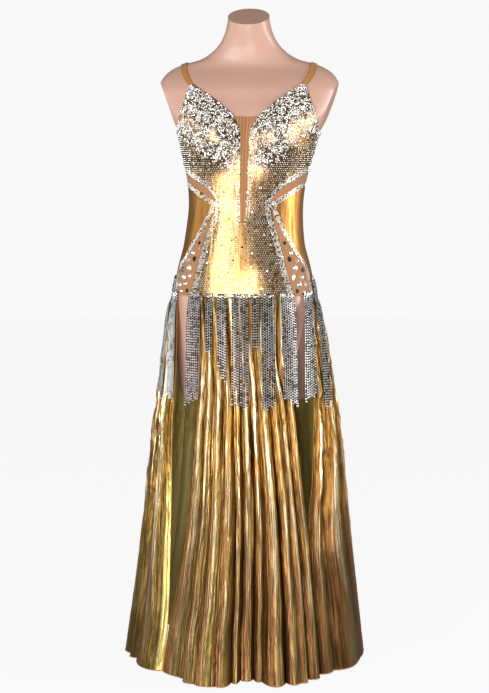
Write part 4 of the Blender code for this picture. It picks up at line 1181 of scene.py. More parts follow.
def make_link(name, half_width, slant):
    """Two slanting stones of a braided chain, side by side. X is across it, Y outwards and Z along it."""
    bm = bmesh.new()
    for side in (-1, 1):
        turn = Matrix.Rotation(side * slant, 4, "Y")
        centre = Matrix.Translation((side * half_width * 0.50, 0, 0))
        bmesh.ops.create_cone(
            bm, cap_ends=True, segments=4, radius1=1.0, radius2=0.45, depth=1.0,
            matrix=centre @ turn @ Matrix.Diagonal((half_width * 0.54, 0.0015, half_width * 1.0, 1))
            @ Matrix.Translation((0, 0.5, 0)) @ Matrix.Rotation(math.radians(-90), 4, "X"),
        )
    bmesh.ops.recalc_face_normals(bm, faces=bm.faces)
    return bpy.data.objects.new(name, to_mesh(bm, name))


CHAIN_LINK = make_link("chain_link", 0.0025, math.radians(30))


def make_stitch(name, length, radius):
    """One stitch of thread, along Z."""
    bm = bmesh.new()
    bmesh.ops.create_cone(bm, cap_ends=True, segments=6, radius1=radius, radius2=radius, depth=length)
    return bpy.data.objects.new(name, to_mesh(bm, name))


STITCH = make_stitch("stitch", 0.0020, 0.00025)

SCATTER = scatter_tree()
STRING = string_tree()
ROLLED = rolled_tree()
CRINKLE = crinkle_tree()


# Camera


def make_camera():
    camera = bpy.data.objects.new("camera", bpy.data.cameras.new("camera"))
    camera.data.lens = CAMERA_LENS
    camera.location = (
        CAMERA_DISTANCE * math.sin(CAMERA_TURN), -CAMERA_DISTANCE * math.cos(CAMERA_TURN), CAMERA_HEIGHT
    )
    across = math.atan2(camera.location.x - CAMERA_AIM_ACROSS, -camera.location.y)
    camera.rotation_euler = (math.pi / 2 - CAMERA_PITCH, 0, across)
    link(camera)
    bpy.context.scene.camera = camera


make_camera()


# The form and its stand


def cut_flat(bm, point, normal, foot):
    """Removes what lies beyond a plane, of the faces above a height, and closes the cut."""
    faces = [face for face in bm.faces if min(corner.co.z for corner in face.verts) > foot]
    edges = {edge for face in faces for edge in face.edges}
    corners = {corner for face in faces for corner in face.verts}
    cut = bmesh.ops.bisect_plane(
        bm, geom=faces + list(edges) + list(corners), plane_co=point, plane_no=normal, clear_outer=True
    )
    rim = [item for item in cut["geom_cut"] if isinstance(item, bmesh.types.BMEdge)]
    bmesh.ops.holes_fill(bm, edges=rim)


def make_form():
    around = [360 * number / FORM_COLUMNS - 180 for number in range(FORM_COLUMNS)]
    heights = finer([row.height for row in FIGURE_ROWS], FORM_ROW_STEP)
    bm = bmesh.new()
    rings = []
    for height in heights:
        ring = [
            bm.verts.new(figure_point(math.radians(degrees), height, FORM_CUP_SHARE)) for degrees in around
        ]
        rings.append(ring)
    for low, high in zip(rings, rings[1:]):
        for number in range(FORM_COLUMNS):
            after = (number + 1) % FORM_COLUMNS
            bm.faces.new((low[number], low[after], high[after], high[number]))
    for corner in rings[0]:
        corner.co.x *= FOOT_TAPER
        corner.co.y *= FOOT_TAPER
    bm.faces.new(rings[0][::-1])
    for side in (-1, 1):
        tip = Vector((side * SHOULDER_TIP.x, SHOULDER_TIP.y, SHOULDER_TIP.z))
        normal = Vector((side * SHOULDER_CUT_NORMAL.x, SHOULDER_CUT_NORMAL.y, SHOULDER_CUT_NORMAL.z))
        cut_flat(bm, tip, normal, SHOULDER_CUT_FOOT)
    cut_flat(bm, NECK_CUT_CENTRE, NECK_CUT_NORMAL, NECK_CUT_FOOT)
    bmesh.ops.holes_fill(bm, edges=[edge for edge in bm.edges if edge.is_boundary])
    bmesh.ops.remove_doubles(bm, verts=bm.verts, dist=MERGE_DISTANCE)
    bmesh.ops.recalc_face_normals(bm, faces=bm.faces)
    for corner in bm.verts:
        corner.co = swayed(corner.co)
    mesh = to_mesh(bm, "form_shell")
    mesh.shade_smooth()
    mesh.set_sharp_from_angle(angle=FORM_SHARP_ANGLE)
    mesh.materials.append(PLASTIC)
    form = link(bpy.data.objects.new("form_shell", mesh))
    rounding = form.modifiers.new("rounded cuts", "BEVEL")
    rounding.width = CUT_ROUNDING
    rounding.segments = 2
    rounding.limit_method = "ANGLE"
    rounding.angle_limit = FORM_SHARP_ANGLE
    rounding.harden_normals = True
    settle(form, "form_plastic", "dress_form")


make_form()
for node in ("stand_base", "stand_pole"):
    steel_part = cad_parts[node]
    steel_part.data.materials.clear()
    steel_part.data.materials.append(STEEL)


# The bodice


def ruled_rows(low_edge, high_edge, heights, columns, out):
    """Rows of points on the figure, ruled across at each height from edge to edge, and their UVs."""
    rows, uvs = [], []
    for height in heights:
        low, high = low_edge(height), high_edge(height)
        row_angles = [between(low, high, share) for share in even(columns)]
        rows.append([swayed(on_figure(angle, height, out)) for angle in row_angles])
        uvs.append([(angle * RADIUS_FOR_UV, height) for angle in row_angles])
    return rows, uvs


def finish_cloth(piece, node, slot):
    return settle(piece, slot, node)


def make_panel(name, node, low_edge, high_edge, heights, columns, material, slot):
    rows, uvs = ruled_rows(low_edge, high_edge, heights, columns, CLOTH_GAP)
    piece = add_cloth(name, grid_mesh(name, rows, uvs), CLOTH_WALL, material)
    return finish_cloth(piece, node, slot)


def make_pair(name, node, low, high, heights, columns, material, slot):
    """A panel on the right with the given edges, and its mirror image on the left."""
    for word, left_edge, right_edge in (("right", low, high), ("left", mirrored(high), mirrored(low))):
        make_panel(f"{name}_{word}", f"{node}_{word}", left_edge, right_edge, heights, columns,
                   material, slot)


def outer_surface(name, low_edge, high_edge, heights, columns, cover):
    """The outside of a panel with how far each kind of stone covers it at its points, to grow them on."""
    rows, uvs = ruled_rows(low_edge, high_edge, heights, columns, CLOTH_GAP + CLOTH_WALL)
    marks = {key: [[rule(point) for point in row] for row in rows] for key, rule in cover.items()}
    return grid_mesh(name, rows, uvs, marks)


def smooth_step(value, low, high):
    share = min(1.0, max(0.0, (value - low) / (high - low)))
    return share * share * (3 - 2 * share)


def crust_cover(point):
    """Dense stones over the cups: from the neckline down to a slanting line, lowest beside the plunge."""
    floor = between(CRUST_FOOT, CRUST_SIDE, min(1.0, abs(point.x) / CRUST_WIDTH) ** CRUST_CURVE)
    return smooth_step(point.z, floor - CRUST_FADE, floor + CRUST_FADE)


def drop_cover(point):
    """A few larger stones over what the crust leaves bare."""
    return 0.9 * (1 - crust_cover(point))


def crust_across(height):
    """How far out from the centre line the crust reaches at a height."""
    share = min(1.0, max(0.0, (height - CRUST_FOOT) / (CRUST_SIDE - CRUST_FOOT)))
    return CRUST_WIDTH * share ** (1 / CRUST_CURVE)


def seat(angle, height, lift=0.0):
    """A place on the outside of the bodice, and the way out of it."""
    foot = on_figure(angle, height, CLOTH_GAP + CLOTH_WALL + lift)
    out = (on_figure(angle, height, CLOTH_GAP + CLOTH_WALL + 0.01) - foot).normalized()
    return swayed(foot), out


FRONT_EDGES = (seam_side(front_inner_edge(), 1), seam_side(front_outer_edge(), -1))
WAIST_HEIGHTS = [edge.height for edge in WAIST_INSERT_UPPER] + [WAIST_UPPER_END]
FRONT_HEIGHTS = finer(
    [HIP_LINE, PLUNGE_EDGE[0].height, PLUNGE_EDGE[1].height, UNDERARM, UNDERARM + 0.0012, UNDERARM + 0.004,
     ARMHOLE[0].height, NECKLINE[0].height - 0.0001, NECKLINE[0].height, STRAP_POINT]
    + WAIST_HEIGHTS + [HIP_INSERT_OUTER[-1].height, WAIST_INSERT_UPPER[0].height - 0.0001],
    ROW_STEP,
)


def mirrored(edge):
    return lambda height: -edge(height)


def grow_stones(name, mesh, tree, sizes, slot="stone_chain"):
    return settle(grow(name, mesh, tree, sizes), slot)


def seat_paths(side):
    """Level rows of stones 5.2 mm apart, staggered from row to row, over the front below its crust."""
    inner, outer = FRONT_EDGES
    pitch = SEAT_PITCH / RADIUS_FOR_UV
    paths = []
    for number in range(int((CRUST_SIDE - HIP_LINE) / SEAT_ROW)):
        height = HIP_LINE + SEAT_FOOT + number * SEAT_ROW
        crust = angle_at(crust_across(height), FIGURE.at(height))
        low = max(inner(height) + SEAT_INNER_ROOM, crust)
        high = outer(height) - SEAT_OUTER_ROOM
        start = (math.ceil(low / pitch) + 0.5 * (number % 2)) * pitch
        steps = int((high - start) / pitch)
        if steps >= 1:
            paths.append([seat(side * (start + pitch * step / 2), height) for step in range(2 * steps + 1)])
    return paths


def border_paths(side):
    """Four close rows along each insert's edges, on the front and on the side panel."""
    waist_foot = WAIST_INSERT_UPPER[0].height
    lower_foot = WAIST_INSERT_LOWER[0].height
    hip_heights = [between(HIP_LINE + HIP_BORDER_FOOT, waist_foot, share) for share in even(BORDER_STEPS)]
    front_inner, front_outer = FRONT_EDGES
    side_inner = seam_side(side_inner_edge(), 1)
    upper = edge_angle(WAIST_INSERT_UPPER, side_end=WAIST_UPPER_END)
    lower = edge_angle(WAIST_INSERT_LOWER, side_end=WAIST_LOWER_END)
    upper_rows = [between(waist_foot, WAIST_UPPER_END - END_ROOM, share) for share in even(BORDER_STEPS)]
    lower_rows = [between(lower_foot, WAIST_LOWER_END - END_ROOM, share) for share in even(BORDER_STEPS)]
    paths = []
    for row in range(BORDER_ROWS):
        away = BORDER_START + row * BORDER_PITCH
        turn = away / WAIST_RADIUS
        paths.append([seat(side * (front_outer(height) - turn), height) for height in hip_heights])
        paths.append([seat(side * (side_inner(height) + turn), height) for height in hip_heights[:-2]])
        paths.append([seat(side * upper(height), height + away) for height in upper_rows])
        paths.append([seat(side * lower(height), height - away) for height in lower_rows])
    heights = [between(PLUNGE_BORDER_FOOT, PLUNGE_BORDER_TOP, share) for share in even(BORDER_STEPS // 2)]
    for row in range(BORDER_ROWS // 2):
        turn = (BORDER_START + row * BORDER_PITCH) / PLUNGE_RADIUS
        paths.append([seat(side * (front_inner(height) + turn), height) for height in heights])
    return paths


def make_fronts():
    inner, outer = FRONT_EDGES
    cover = {"crust": crust_cover, "drops": drop_cover}
    # side is 1 on the viewer's right
    for side, word, low, high in (
        (1, "right", inner, outer), (-1, "left", mirrored(outer), mirrored(inner)),
    ):
        make_panel("bodice_front_" + word, "front_" + word, low, high, FRONT_HEIGHTS, BODICE_COLUMNS, FOIL,
                   "foil_stretch")
        surface = outer_surface("surface", low, high, FRONT_HEIGHTS, BODICE_COLUMNS, cover)
        grow_stones("stones_crust_" + word, surface, SCATTER, {
            "Stones": CRUST_STONES, "Cover": "crust", "Spacing": 0.0034, "Smallest": 0.0018,
            "Largest": 0.0032, "Tilt": 0.40, "Seed": 12 + side, "Material": STONE,
        })
        grow_stones("stones_drops_" + word, surface.copy(), SCATTER, {
            "Stones": CRUST_STONES, "Cover": "drops", "Spacing": 0.019, "Smallest": 0.0026,
            "Largest": 0.0038, "Tilt": 0.2, "Seed": 22 + side, "Material": LARGE_STONE,
        })
        grow_stones("stones_rows_" + word, path_mesh("rows", seat_paths(side)), STRING, {
            "Link": SEATED_STONE, "Pitch": SEAT_PITCH, "Smallest": 0.85, "Largest": 1.15, "Seed": 32 + side,
            "Material": STONE,
        })
        grow_stones("stones_borders_" + word, path_mesh("borders", border_paths(side)), STRING, {
            "Link": BORDER_STONE, "Pitch": BORDER_PITCH, "Smallest": 0.85, "Largest": 1.1,
            "Seed": 42 + side, "Material": STONE,
        })


def make_sides_and_back():
    side_low = seam_side(side_inner_edge(), 1)
    seam = seam_side(lambda _height: SIDE_SEAM, -1)
    side_heights = finer([HIP_LINE, HIP_INSERT_OUTER[-1].height, WAIST_INSERT_LOWER[0].height - 0.0001]
                         + [edge.height for edge in WAIST_INSERT_LOWER], ROW_STEP)
    make_pair("bodice_side", "side", side_low, seam, side_heights, SIDE_COLUMNS, SIDE_FOIL, "foil_stretch")
    neckline = edge_angle(BACK_NECKLINE, behind=True)
    armhole = seam_side(round_underarm(BACK_ARMHOLE, behind=True), 1)

    def right_inner(height):
        return math.pi if height <= UNDERARM else neckline(height)

    turns = [UNDERARM, UNDERARM + 0.0005, UNDERARM + 0.002, BACK_NECKLINE[1].height, BACK_NECKLINE[2].height]
    heights = finer([HIP_LINE, BACK_NECKLINE[-1].height] + turns, ROW_STEP)
    # The back is one piece. Each half is ruled to the centre line, and the two are joined there.
    halves = (
        (armhole, right_inner),
        (lambda height: 2 * math.pi - right_inner(height), lambda height: 2 * math.pi - armhole(height)),
    )
    bm = bmesh.new()
    for low, high in halves:
        rows, uvs = ruled_rows(low, high, heights, BACK_COLUMNS, CLOTH_GAP)
        half = grid_mesh("back_half", rows, uvs)
        bm.from_mesh(half)
        bpy.data.meshes.remove(half)
    bmesh.ops.remove_doubles(bm, verts=bm.verts, dist=BACK_MERGE_DISTANCE)
    mesh = to_mesh(bm, "bodice_back")
    mesh.shade_smooth()
    finish_cloth(add_cloth("bodice_back", mesh, CLOTH_WALL, SIDE_FOIL), "back", "foil_stretch")


def make_inserts():
    plunge = seam_side(edge_angle(PLUNGE_EDGE), -1)
    plunge_heights = finer([edge.height for edge in PLUNGE_EDGE[1:]], 0.004)
    make_panel("insert_plunge", "plunge_insert", mirrored(plunge), plunge, plunge_heights, 16, MESH_CLOTH,
               "tan_mesh")
    low = seam_side(edge_angle(HIP_INSERT_INNER), 1)
    high = seam_side(edge_angle(HIP_INSERT_OUTER), -1)
    heights = finer([edge.height for edge in HIP_INSERT_OUTER[:-1]] + [1.015], 0.005)
    make_pair("insert_hip", "hip_insert", low, high, heights, 12, MESH_CLOTH, "tan_mesh")
    for side, word in ((-1, "left"), (1, "right")):
        make_waist_insert(side, word)


def make_waist_insert(side, word):
    """Slanting mesh slit: rungs between its two edges, from the waist point to the side seam."""
    lower = edge_angle(WAIST_INSERT_LOWER, side_end=WAIST_LOWER_END)
    upper = edge_angle(WAIST_INSERT_UPPER, side_end=WAIST_UPPER_END)
    low_ends = [edge.height for edge in WAIST_INSERT_LOWER] + [WAIST_LOWER_END]
    high_ends = [edge.height for edge in WAIST_INSERT_UPPER] + [WAIST_UPPER_END]
    rows, uvs = [], []
    places = [number / 40 * (len(low_ends) - 1) for number in range(41)]
    for share in even(4):
        row, uv = [], []
        for place in (places if side > 0 else places[::-1]):
            rung = min(int(place), len(low_ends) - 2)
            low_height = between(low_ends[rung], low_ends[rung + 1], place - rung) + 1.5 * SEAM_GAP
            high_height = between(high_ends[rung], high_ends[rung + 1], place - rung) - 1.5 * SEAM_GAP
            height = between(low_height, high_height, share)
            angle = between(lower(low_height - 1.5 * SEAM_GAP), upper(high_height + 1.5 * SEAM_GAP), share)
            angle = min(angle, SIDE_SEAM - SEAM_MARGIN / 0.1)
            row.append(swayed(on_figure(side * angle, height, CLOTH_GAP)))
            uv.append((side * angle * RADIUS_FOR_UV, height))
        rows.append(row)
        uvs.append(uv)
    name = "insert_waist_" + word
    piece = add_cloth(name, grid_mesh(name, rows, uvs), CLOTH_WALL, MESH_CLOTH)
    finish_cloth(piece, "waist_insert_" + word, "tan_mesh")


make_fronts()
make_sides_and_back()
make_inserts()


# Straps


def shoulder_point(across, tilt):
    """Point of the figure's shoulder on a ray that leans from level, ahead, over the top to the back."""
    axis = Vector((across, STRAP_AXIS_Y, STRAP_AXIS_HEIGHT))
    ray = Vector((0, -math.cos(tilt), math.sin(tilt)))
    low, high = 0.0, 0.25
    for _ in range(30):
        middle = (low + high) / 2
        point = axis + ray * middle
        section = FIGURE.at(point.z)
        depth = section.front if point.y < section.middle else section.back
        reach = (abs(point.x) / section.half_width) ** section.square
        inside = reach + (abs(point.y - section.middle) / depth) ** section.square < 1
        low, high = (middle, high) if inside else (low, middle)
    return axis + ray * low


def edge_point(across, height, behind):
    return figure_point(angle_at(across, FIGURE.at(height), behind), height)


def strap_rows(side, steps, places, lift):
    """Rows of points along a strap from a cup's point over the shoulder to the back's top edge."""
    front_height = STRAP_POINT + SEAM_GAP + STRAP_LIFT
    back_height = BACK_NECKLINE[-1].height + SEAM_GAP + STRAP_LIFT
    front_across = (NECKLINE[-1].across + ARMHOLE[-1].across) / 2
    ends = [edge_point(front_across, front_height, False), edge_point(BACK_STRAP_ACROSS, back_height, True)]
    tilts = [math.atan2(end.z - STRAP_AXIS_HEIGHT, STRAP_AXIS_Y - end.y) for end in ends]

    def rest_point(along, place):
        bow = math.sin(math.pi * along) ** 0.8
        across = between(front_across, BACK_STRAP_ACROSS, along) + bow * STRAP_BOW + place * STRAP_WIDTH / 2
        if along == 0:
            return edge_point(across, front_height, False)
        if along == 1:
            return edge_point(across, back_height, True)
        return shoulder_point(across, between(tilts[0], tilts[1], along))

    rows = []
    for along in even(steps):
        row = []
        for place in places:
            step = 0.02
            before, after = max(along - step, 0.001), min(along + step, 0.999)
            ahead = rest_point(after, place) - rest_point(before, place)
            sideways = rest_point(along, place + 0.2) - rest_point(along, place - 0.2)
            out = sideways.cross(ahead).normalized()
            point = rest_point(along, place) + out * lift
            row.append((swayed((side * point.x, point.y, point.z)), Vector((side * out.x, out.y, out.z))))
        rows.append(row)
    return rows


def make_straps():
    for side, word in ((-1, "left"), (1, "right")):
        places = [side * place for place in (-1, -0.6, -0.2, 0.2, 0.6, 1)]
        rows = strap_rows(side, 40, places, STRAP_LIFT)
        points = [[point for point, _out in row] for row in rows]
        uvs = [
            [(place * STRAP_WIDTH / 2, number * 0.005) for place in places] for number in range(len(rows))
        ]
        mesh = grid_mesh("strap_band_" + word, points, uvs)
        piece = add_cloth("strap_band_" + word, mesh, CLOTH_WALL, ELASTIC)
        finish_cloth(piece, "strap_" + word, "tan_elastic")
        lines = strap_rows(side, 40, [-0.8, 0.8], STRAP_LIFT + CLOTH_WALL)
        stitch_paths = path_mesh("stitch_lines", [[row[column] for row in lines] for column in (0, 1)])
        grow_stones("strap_stitches_" + word, stitch_paths, STRING, {
            "Link": STITCH, "Pitch": 0.0032, "Smallest": 0.9, "Largest": 1.0, "Seed": 5,
            "Material": HEM_THREAD,
        }, "tan_elastic")


make_straps()


# The skirt


def skirt_point(angle, height, inward):
    """Point of the skirt at an angle, held back from its outline along the level normal."""
    section = SKIRT.at(height)
    forward = math.cos(angle)
    depth = section.front if forward > 0 else section.back
    normal = Vector((math.sin(angle) / section.half_width, -forward / depth, 0)).normalized()
    return oval_point(angle, section) - normal * inward


def skirt_angle(edge):
    profile = Profile(edge)

    def angle(height):
        return angle_at(profile.at(height).across, SKIRT.at(height))

    return angle


def pleated_row(folds, low_angle, high_angle, stops, drop):
    """One level row of a pleated panel: stops are (fold, share across it), and drop runs from hip to hem."""
    height = between(HIP_LINE - SEAM_GAP - SEAM_MARGIN, HEM_HEIGHT, drop)
    spread_out = drop ** FOLD_GROWTH
    hip_total = sum(fold.hip_share for fold in folds)
    hem_total = sum(fold.hem_share for fold in folds)
    widths = [between(fold.hip_share / hip_total, fold.hem_share / hem_total, spread_out) for fold in folds]
    starts = np.concatenate([[0.0], np.cumsum(widths)]) / sum(widths)
    low, high = low_angle(height), high_angle(height)
    row = []
    for number, share in stops:
        fold = folds[number]
        last = folds[max(number - 1, 0)]
        coming = folds[min(number + 1, len(folds) - 1)]
        crest = max(0.0, math.sin(math.pi * share)) ** FOLD_ROUNDNESS
        valley = FOLD_DEPTH * between(1, between(last.depth, fold.depth, share), spread_out)
        valley += between(last.inset + fold.inset, coming.inset + fold.inset, share) / 2
        inward = between(valley, fold.inset, crest) * spread_out
        angle = between(low, high, between(starts[number], starts[number + 1], share))
        flare = LEFT_FLARE * max(0.0, -math.sin(angle)) ** 2 * drop ** 3
        row.append(swayed(skirt_point(angle, height, inward - flare)))
    return row


def panel_marks(stops, drops, rows, edge_distances, band_width, crumpled):
    """Values at a skirt panel's points: how loose, its place on a fold, its pale edge and its beads."""
    last = len(stops) - 1
    edge_room = [min(1.0, min(column, last - column) / EDGE_COLUMNS) for column in range(len(stops))]
    marks = {"loose": [], "flank": [], "band": [], "beads": []}
    for drop, row in zip(drops, rows):
        depth = between(1 + crumpled, CALM_SHARE, smooth_step(drop, *CALM))
        shown = smooth_step(drop, *BAND_REACH)
        beaded = smooth_step(drop, *BEADS_START) * smooth_step(drop, *BEADS_END)
        marks["loose"].append([smooth_step(drop, *LOOSENED) * depth * room for room in edge_room])
        marks["flank"].append([share for _number, share in stops])
        marks["band"].append([
            shown * smooth_step(distance, band_width + BAND_FADE, band_width) for distance in edge_distances
        ])
        marks["beads"].append([
            beaded * (BEADS_LOW < point.x < BEADS_HIGH) * (point.y < 0) for point in row
        ])
    return marks


def make_skirt_panel(name, node, folds, edges, steps, seed, hem_width, band_width, crumpled):
    """A pleated panel with its creases. steps are across a fold and down the panel, band_width is the width
    of its pale edge at the left slit, and crumpled is how much deeper its creases are near the hip."""
    low_angle, high_angle = edges
    steps_across, steps_down = steps
    stops = []
    for number in range(len(folds)):
        count = steps_across * 2 if number in (0, len(folds) - 1) else steps_across
        stops += [(number, step / count) for step in range(count)]
    stops.append((len(folds) - 1, 1.0))
    drops = FIRST_DROPS + [between(FIRST_DROPS[-1], 1.0, share) for share in even(steps_down)[1:]]
    drops = drops[::-1]
    rows = [pleated_row(folds, low_angle, high_angle, stops, drop) for drop in drops]
    hem_total = sum(fold.hem_share for fold in folds)
    starts = [sum(fold.hem_share for fold in folds[:number]) / hem_total for number in range(len(folds))]
    across = [
        (starts[number] + share * folds[number].hem_share / hem_total) * hem_width for number, share in stops
    ]
    uvs = [[(place, HIP_LINE * (1 - drop)) for place in across] for drop in drops]
    edge_distances = [hem_width - place for place in across]
    marks = panel_marks(stops, drops, rows, edge_distances, band_width, crumpled)
    panel = grow(name, grid_mesh(name, rows, uvs, marks), CRINKLE, {
        "Depth": 0.0085, "Width": 0.022, "Length": 0.20 / (1 + crumpled), "Seed": seed, "Material": LAME,
    })
    panel.data.materials.append(LAME_BACK)
    panel.data.shade_smooth()
    surface = panel.data.copy()
    width = len(stops)
    outs = [corner.normal.copy() for corner in surface.vertices]
    for corner, out in zip(surface.vertices, outs):
        corner.co += out * SKIRT_WALL
    grid = [
        [(surface.vertices[start + column].co.copy(), outs[start + column]) for column in range(width)]
        for start in range(0, len(outs), width)
    ]
    thicken(panel, SKIRT_WALL, inner=True)
    finish_cloth(panel, node, "lame")
    return panel, surface, grid, across


def hem_line(line, back):
    return [(point - out * back, out) for point, out in line]


def make_skirt():
    front_left, front_right = skirt_angle(FRONT_LEFT_EDGE), skirt_angle(FRONT_RIGHT_EDGE)
    side_left, side_right = skirt_angle(SIDE_LEFT_EDGE), skirt_angle(SIDE_RIGHT_EDGE)
    front_edges = (mirrored(front_left), front_right)
    back_edges = (side_right, lambda height: 2 * math.pi - side_left(height))
    panels = [
        make_skirt_panel("skirt_panel_front", "skirt_front", FRONT_FOLDS, front_edges, FRONT_STEPS, 3.0,
                         FRONT_HEM, 0.0, FRONT_CRUMPLED),
        make_skirt_panel("skirt_panel_back", "skirt_back", BACK_FOLDS, back_edges, BACK_STEPS, 7.0,
                         BACK_HEM, BAND_WIDTH, BACK_CRUMPLED),
    ]
    for number, (panel, surface, grid, across) in enumerate(panels):
        lines = [grid[0], [row[0] for row in grid], [row[-1] for row in grid]]
        hem_paths = path_mesh("hem_lines", [hem_line(line, SKIRT_WALL / 2) for line in lines])
        hems = grow_stones(panel.name + "_hem", hem_paths, ROLLED, {
            "Radius": HEM_RADIUS, "Sides": 8, "Material": HEM_THREAD,
        }, "lame")
        hems.data.shade_smooth()
        if number == 0:
            grow_stones("skirt_beads", surface, SCATTER, {
                "Stones": SMALL_STONES, "Cover": "beads", "Spacing": 0.0075, "Smallest": 0.0018,
                "Largest": 0.0026, "Tilt": 0.2, "Seed": 4, "Material": BEAD_GOLD,
            })
        else:
            sewn = BACK_HEM - BAND_WIDTH * 0.6
            stitched = min(range(len(across)), key=lambda column: abs(across[column] - sewn))
            line = [row[stitched] for row in grid[:len(grid) // 2]]
            grow_stones("slit_stitching", path_mesh("slit_lines", [hem_line(line, 0.0)]), ROLLED, {
                "Radius": 0.0008, "Sides": 6, "Material": HEM_THREAD,
            }, "lame")


make_skirt()


# Chain fringe


def reshaped(angle, power):
    """An angle on one oval as the angle on a squarer or rounder one, at the same shares of its widths."""
    return math.atan2(signed_power(math.sin(angle), power), signed_power(math.cos(angle), power))


def chain_point(cluster, root_angle, height):
    """Where a chain hangs: outside the folds' crests, and as far as at its root from its neighbours."""
    hip = SKIRT.at(HIP_LINE)
    here = SKIRT.at(min(height, HIP_LINE))
    flare = here.half_width / hip.half_width
    middle = reshaped(math.radians(cluster.degrees), 2 / hip.square)
    offset = reshaped(root_angle, 2 / hip.square) - middle
    follow = cluster.spread * math.sin(middle) ** 2
    bearing = math.asin(math.sin(middle) * (1 + follow * (flare - 1)) / flare) + offset / flare
    angle = reshaped(bearing, here.square / 2)
    clearance = CHAIN_CLEARANCE - SKIRT_WALL / 2
    if height > HIP_LINE:
        return on_figure(angle, height, CLOTH_GAP + clearance)
    return skirt_point(angle, height, -clearance)


def cluster_angles(cluster):
    section = FIGURE.at(cluster.root)
    middle = math.radians(cluster.degrees)
    speed = math.hypot(section.half_width * math.cos(middle), section.front * math.sin(middle))
    half = cluster.chains * CHAIN_PITCH / 2 / speed
    return middle - half, middle + half


def make_cluster(cluster, number):
    """Stone chains that hang from a narrow strip on the hip: stones in pairs over a dark core, painted shade
    for the gaps between them.
    """
    low, high = cluster_angles(cluster)
    root_height = cluster.root + STRIP_RISE
    paths = []
    for chain in range(cluster.chains):
        root_angle = between(low, high, (chain + 0.5) / cluster.chains)
        share = chain / max(1, cluster.chains - 1)
        length = cluster.length - abs(cluster.slant) * (share if cluster.slant < 0 else 1 - share)
        length -= CHAIN_STAGGER * (chain % 2)
        # Every other chain starts half a link lower, so that the rows of stones don't line up
        start = LINK_PITCH / 2 * (chain % 2) / length
        points = [
            swayed(chain_point(cluster, root_angle, root_height - length * between(start, 1, along)))
            for along in even(30)
        ]
        out = Vector((math.sin(root_angle), -math.cos(root_angle), 0.0))
        paths.append([(point, out) for point in points])
    fringe = grow("chains_" + cluster.name, path_mesh("chain_lines", paths), STRING, {
        "Link": CHAIN_LINK, "Pitch": LINK_PITCH, "Smallest": 0.92, "Largest": 1.04, "Seed": 31 + number,
        "Material": CHAIN_STONE,
    })
    settle(fringe, "stone_chain", "fringe_" + cluster.name)
    # The dark core is painted shade that shows in the gaps between the stones
    grow_stones("cores_" + cluster.name, path_mesh("core_lines", paths), ROLLED, {
        "Radius": 0.0015, "Sides": 6, "Material": DARK_STRIP_AND_GAP_SHADE,
    })
    make_strip(cluster, low, high, number)


def make_strip(cluster, low, high, number):
    """The strip that the chains hang from, closed all round, with stones set on its face."""
    foot = cluster.root + STRIP_RISE

    def line(out, rise):
        lift = CLOTH_GAP + CLOTH_WALL + STRIP_LIFT + out
        return [
            swayed(on_figure(between(low, high, share), foot + STRIP_HEIGHT * rise, lift))
            for share in even(cluster.chains * 2)
        ]

    rows = [line(0.0, 0.0), line(STRIP_DEPTH, 0.0), line(STRIP_DEPTH, 1.0), line(0.0, 1.0)]
    bm = bmesh.new()
    rings = [[bm.verts.new(row[column]) for row in rows] for column in range(len(rows[0]))]
    for here, after in zip(rings, rings[1:]):
        for corner in range(4):
            bm.faces.new((here[corner], after[corner], after[(corner + 1) % 4], here[(corner + 1) % 4]))
    bm.faces.new(rings[0][::-1])
    bm.faces.new(rings[-1])
    bmesh.ops.recalc_face_normals(bm, faces=bm.faces)
    mesh = to_mesh(bm, "strip_" + cluster.name)
    mesh.materials.append(DARK_STRIP_AND_GAP_SHADE)
    strip = link(bpy.data.objects.new(mesh.name, mesh))
    rounding = strip.modifiers.new("rounded", "BEVEL")
    rounding.width = 0.0006
    rounding.segments = 2
    settle(strip, "stone_chain")
    face = [line(STRIP_DEPTH, rise) for rise in (0.0, 0.5, 1.0)]
    uvs = [[(share, rise) for share in even(cluster.chains * 2)] for rise in (0.0, 0.5, 1.0)]
    marks = {"all": [[1.0] * len(face[0])] * 3}
    grow_stones("strip_stones_" + cluster.name, grid_mesh("strip_face", face, uvs, marks), SCATTER, {
        "Stones": CRUST_STONES, "Cover": "all", "Spacing": 0.0028, "Smallest": 0.0014, "Largest": 0.0024,
        "Tilt": 0.3, "Seed": 51 + number, "Material": STONE,
    })


for number, row in enumerate(CLUSTERS):
    make_cluster(row, number)


# Large stones on the hip inserts


def set_stone(gem, name, angle, height, radius, turn, tone):
    """A large stone seated on the cloth, facing outwards."""
    foot, normal = seat(angle, height, -0.0002)
    place = Matrix.Translation(foot) @ normal.to_track_quat("Z", "Y").to_matrix().to_4x4()
    mesh = gem.data.copy()
    mesh.transform(place @ Matrix.Rotation(turn, 4, "Z") @ Matrix.Scale(radius, 4))
    store = mesh.attributes.new("tone", "FLOAT", "POINT")
    store.data.foreach_set("value", [tone] * len(mesh.vertices))
    mesh.materials.append(LARGE_STONE)
    settle(link(bpy.data.objects.new(name, mesh)), "stone_chain")


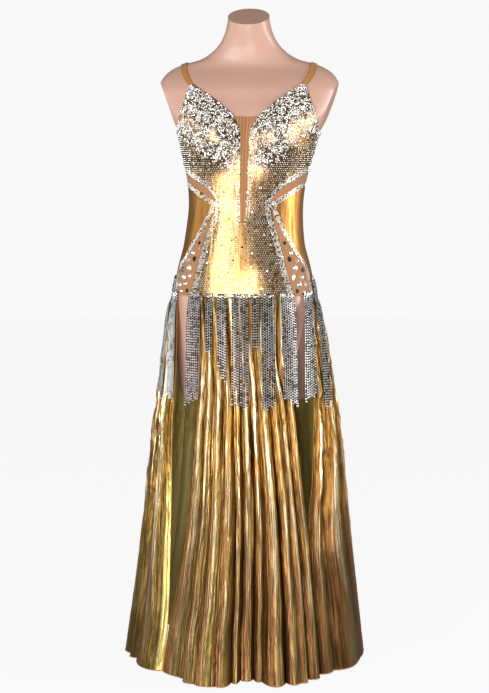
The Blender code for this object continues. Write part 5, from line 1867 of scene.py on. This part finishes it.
def make_hip_stones():
    low = seam_side(edge_angle(HIP_INSERT_INNER), 1)
    high = seam_side(edge_angle(HIP_INSERT_OUTER), -1)
    for side, word in ((-1, "left"), (1, "right")):
        for number, stone in enumerate(HIP_STONES):
            angle = side * between(low(stone.height), high(stone.height), stone.share)
            gem = LARGE_DROP if number % 3 == 1 else LARGE_ROUND
            set_stone(gem, f"hip_stone_{word}_{number}", angle, stone.height, stone.radius, number * 1.3,
                      (number * 0.37) % 1.0)


make_hip_stones()


# Light and floor


def add_softbox(name, row):
    """A softbox that faces the middle of the dress."""
    light = bpy.data.lights.new(name, "AREA")
    light.shape = "RECTANGLE"
    light.size = row.width
    light.size_y = row.tall
    light.energy = row.power
    box = link(bpy.data.objects.new(name, light))
    angle = math.radians(row.azimuth)
    box.location = (row.distance * math.sin(angle), -row.distance * math.cos(angle), row.height)
    aim = Vector((0, 0, AIM_HEIGHT)) - box.location
    box.rotation_euler = aim.to_track_quat("-Z", "Y").to_euler()


def make_studio():
    for name, row in SOFTBOXES.items():
        add_softbox(name, row)
    world = bpy.data.worlds.new("studio")
    bpy.context.scene.world = world
    world.use_nodes = True
    tree = world.node_tree
    tree.nodes.clear()
    seen = add_node(tree, "ShaderNodeBackground", inputs={"Color": (1, 1, 1, 1), "Strength": WORLD_SEEN})
    cast = add_node(tree, "ShaderNodeBackground", inputs={"Color": (1, 1, 1, 1), "Strength": WORLD_CAST})
    ray = add_node(tree, "ShaderNodeLightPath")
    mixed = add_node(tree, "ShaderNodeMixShader", inputs={
        0: ray.outputs["Is Camera Ray"], 1: cast, 2: seen,
    })
    add_node(tree, "ShaderNodeOutputWorld", inputs={"Surface": mixed})
    bm = bmesh.new()
    bmesh.ops.create_circle(bm, cap_ends=True, segments=96, radius=FLOOR_RADIUS)
    mesh = to_mesh(bm, "paper_floor")
    mesh.materials.append(paper_floor())
    link(bpy.data.objects.new("paper_floor", mesh))


make_studio()
bpy.context.scene.view_settings.view_transform = "Standard"
